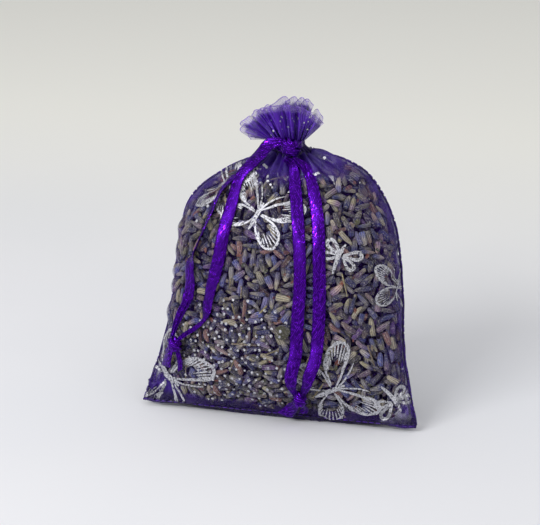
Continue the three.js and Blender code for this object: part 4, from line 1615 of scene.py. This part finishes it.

# %% [markdown]
# ### Casing
#
# The casing is the channel that the drawstrings run in. Drawn tight, it is a bundle of deep pleats,
# narrowest in the middle. The drawstrings leave it at the sides and cross to the knot.

# %% Finish of layered cloth, and of the foot seam with painted shadow
seam_cloth, seam_thread, _ = organza("layered organza", PANEL_PITCH, 0.5, ink(20, 3, 60), ink(40, 10, 94))
seam_cloth.paint("Alpha", seam_thread * 0.2 + 0.78)
foot_cloth, foot_thread, foot_colour = organza(
    "foot seam organza in painted shadow", PANEL_PITCH, 0.5, ink(20, 3, 60), ink(44, 10, 100)
)
# Painted shadow: the middle of the bottom seam goes near black, as the shadow under the bag's belly.
painted_shadow_under_belly = foot_cloth.part(foot_cloth.place(), "X").size().ramp(40 * MM, 35 * MM)
foot_cloth.paint("Base Color", foot_cloth.blend(painted_shadow_under_belly, foot_colour, ink(14, 4, 40)))
foot_cloth.paint("Alpha", foot_thread * 0.2 + 0.78)
print("layered organza ready")

# %% Casing and bunched cloth
CASING_FOOT = 83.2
CASING_TOP = 89.2
CASING_WIDE = 6.5
CASING_FOLDS = 21
BUNCH_FOLDS = 13
BUNCH_HEIGHT = 87.4


def round_neck(angle, radius, middle, z):
    return Vector((-math.sin(angle) * radius, middle + math.cos(angle) * radius, z))


def casing_mesh():
    """The drawn-up channel, as a fluted ring that narrows upwards."""

    def place(across, up):
        angle = across * 2 * math.pi
        drift = 1.5 * math.sin(angle * 3)
        beat = angle * CASING_FOLDS + drift + 0.4 * wave(8, math.cos(angle) * 3, math.sin(angle) * 3)
        pinch = soft_step(0, 0.62, up)
        radius = lerp(CASING_WIDE, NECK_PINCH, pinch) + 0.45 * math.cos(beat) * (1 - 0.4 * pinch)
        middle = NECK_BEHIND - NECK_FORWARD * pinch
        return round_neck(angle, radius, middle, lerp(CASING_FOOT, CASING_TOP, up))

    bm = cloth_mesh(252, 12, place, (180, 7))
    weld(bm, 0.01)
    return bm


def bunch_mesh():
    """The cloth that closes the drawn neck, in folds that run in to its middle."""

    def place(across, out):
        angle = across * 2 * math.pi
        beat = angle * BUNCH_FOLDS + 1.5 * math.sin(angle * 2) + 2 * out
        radius = lerp(0.3, NECK_PINCH, out)
        z = BUNCH_HEIGHT + 0.8 * out * math.cos(beat) + 1.4 * out * out
        z += 0.3 * wave(6, math.cos(angle) * 2, out * 4)
        return round_neck(angle, radius, NECK_BEHIND - NECK_FORWARD, z)

    bm = cloth_mesh(156, 10, place, (60, 6))
    weld(bm, 0.01)
    inmost = [edge for edge in bm.edges if edge.calc_length() < 0.03 * MM]
    bmesh.ops.holes_fill(bm, edges=inmost, sides=0)
    return bm


casing = make_piece("casing_cloth", casing_mesh(), seam_cloth)
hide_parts("neck_casing")
bunch = make_piece("neck_bunch_cloth", bunch_mesh(), seam_cloth)
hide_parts("neck_gather")
print("casing", len(casing.data.polygons), "faces, bunch", len(bunch.data.polygons))

# %% Drawstrings
DRAWSTRING_ARC = (-14, 84)
DRAWSTRING_RADII = (3.6, 6.4)
DRAWSTRING_BREADTH = 2.2
DRAWSTRING_THICKNESS = 0.3


def drawstring_mesh(side):
    """The part of a drawstring that shows: out of the casing's slot and round to the knot."""

    def place(across, along):
        angle = math.radians(lerp(*DRAWSTRING_ARC, along))
        radius = lerp(*DRAWSTRING_RADII, soft_step(0.1, 0.75, along)) + 0.18 * math.cos(across * 9)
        z = NECK_KNOT_AT.z + side * 0.5 + (across - 0.5) * DRAWSTRING_BREADTH
        z += 0.3 * math.sin(along * 5 + side)
        middle = NECK_BEHIND - NECK_FORWARD
        return Vector((side * radius * math.cos(angle), middle - radius * math.sin(angle), z))

    return cloth_mesh(8, 30, place, (RIBBON_WIDTH, 12))


for side, name in ((-1, "left_drawstring"), (1, "right_drawstring")):
    band = make_piece(name + "_satin", drawstring_mesh(side), satin)
    thicken(band, DRAWSTRING_THICKNESS)
    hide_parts(name)
    print(name, len(band.data.polygons), "faces")

# %% [markdown]
# ## Seams
#
# The panels are sewn with a narrow turned-in seam, four layers of organza thick, so it is nearly opaque
# and dark. It is a strip outside the cloth's edge that waves a little, with a row of small stitches along
# it. The middle of the bottom seam is darker still, as painted shadow under the bag's belly.


# %% Seam strips
SEAM_ROWS = 1.3


def seam_mesh(line, outward, widths, seed):
    """A strip along a line, whose widths are stops by the share of the way."""
    rows = round(line.length * SEAM_ROWS)

    def place(across, along):
        side = outward(along)
        out = side.cross(line.heading(along)).normalized()
        wobble = 0.2 * math.sin(along * line.length * 0.55 + 3 * wave(seed, along * 14))
        edge = 0.12 * wave(seed + 1, along * 60) * across
        centre = line.at(along) + side * (across * between(widths, along) + edge - 0.25)
        return centre + out * (wobble * across + 0.15 * math.cos(across * 9))

    return cloth_mesh(6, rows, place, (widths[0][1], line.length))


SEAM_TOP = 0.985
MIRROR = Vector((-1, 1, 1))
PAST_CORNERS = Vector((1.009, 1, 1))
seam_shares = [lerp(0.0, SEAM_TOP, i / 40) for i in range(41)]
right_side = Line([right_line.at(share) for share in seam_shares])
left_side = Line([left_line.at(share) * MIRROR for share in seam_shares])
SEAM_LEAN = 2.2
bottom_turns = [lerp(-math.pi / 2, math.pi / 2, i / 30) for i in range(31)]
bottom_side = Line([bag_point(front_line, turn, 0) * PAST_CORNERS for turn in bottom_turns])


def side_outward(line, side):
    """The way out of a side seam at a share of its length, which leans to the back."""

    def outward(share):
        heading = line.heading(share)
        level = Vector((heading.z, 0, -heading.x)).normalized() * side
        return (level + BEHIND * SEAM_LEAN).normalized()

    return outward


print("seams", [round(line.length) for line in (left_side, bottom_side, right_side)], "mm long")

# %% Sew the seams
FOOT_OUTWARD = Vector((0, -0.8, -0.6))
SIDE_WIDTHS = [(0, 1.3), (0.5, 1.2), (0.72, 0.6), (1, 0.5)]
BOTTOM_WIDTHS = [(0, 0.9), (0.05, 1.3), (0.14, 0.8), (0.86, 0.8), (0.95, 1.3), (1, 0.9)]
seam_plans = [
    ("right_side_seam", right_side, side_outward(right_side, 1), SIDE_WIDTHS, 4),
    ("left_side_seam", left_side, side_outward(left_side, -1), SIDE_WIDTHS, 5),
    ("bottom_seam", bottom_side, lambda share: FOOT_OUTWARD, BOTTOM_WIDTHS, 6),
]
SEAM_THICKNESS = 0.25
STITCH_PITCH = 2.1
THREAD_RADIUS = 0.16 * MM
STITCH_SIZE = {"radius1": THREAD_RADIUS, "radius2": THREAD_RADIUS, "depth": 1.5 * MM}
stitches = bmesh.new()
for name, line, outward, widths, seed in seam_plans:
    seam_finish = foot_cloth if name == "bottom_seam" else seam_cloth
    seam = make_piece(name + "_cloth", seam_mesh(line, outward, widths, seed), seam_finish)
    thicken(seam, SEAM_THICKNESS)
    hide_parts(name)
    for i in range(round(line.length / STITCH_PITCH)):
        share = (i + 0.5) * STITCH_PITCH / line.length
        if share > 1:
            break
        side = outward(share)
        out = side.cross(line.heading(share)).normalized()
        out = out if out.dot(towards_camera) > 0 else -out
        spot = (line.at(share) + side * between(widths, share) * 0.4 + out * 0.22) * MM
        turn = line.heading(share).to_track_quat("Z", "Y").to_matrix().to_4x4()
        spot_turn = Matrix.Translation(spot) @ turn
        bmesh.ops.create_cone(stitches, cap_ends=True, segments=6, matrix=spot_turn, **STITCH_SIZE)
yarn = Finish("sewing thread", Roughness=0.5, Specular_IOR_Level=0.3)
yarn_tone = yarn.speckle(yarn.place(), 2400.0, 2.0)
yarn.paint("Base Color", yarn.blend(yarn_tone.ramp(0.35, 0.65), ink(44, 14, 104), ink(84, 46, 156)))
yarn.bump(yarn_tone, 0.05 * MM)
sewn = make_piece("seam_stitches", stitches, yarn)
print("stitches", len(sewn.data.polygons), "faces")

# %% Sizes, and finish
visual_box = [list(corner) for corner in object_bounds()]
print("box", [[round(c * 1000, 1) for c in corner] for corner in visual_box])
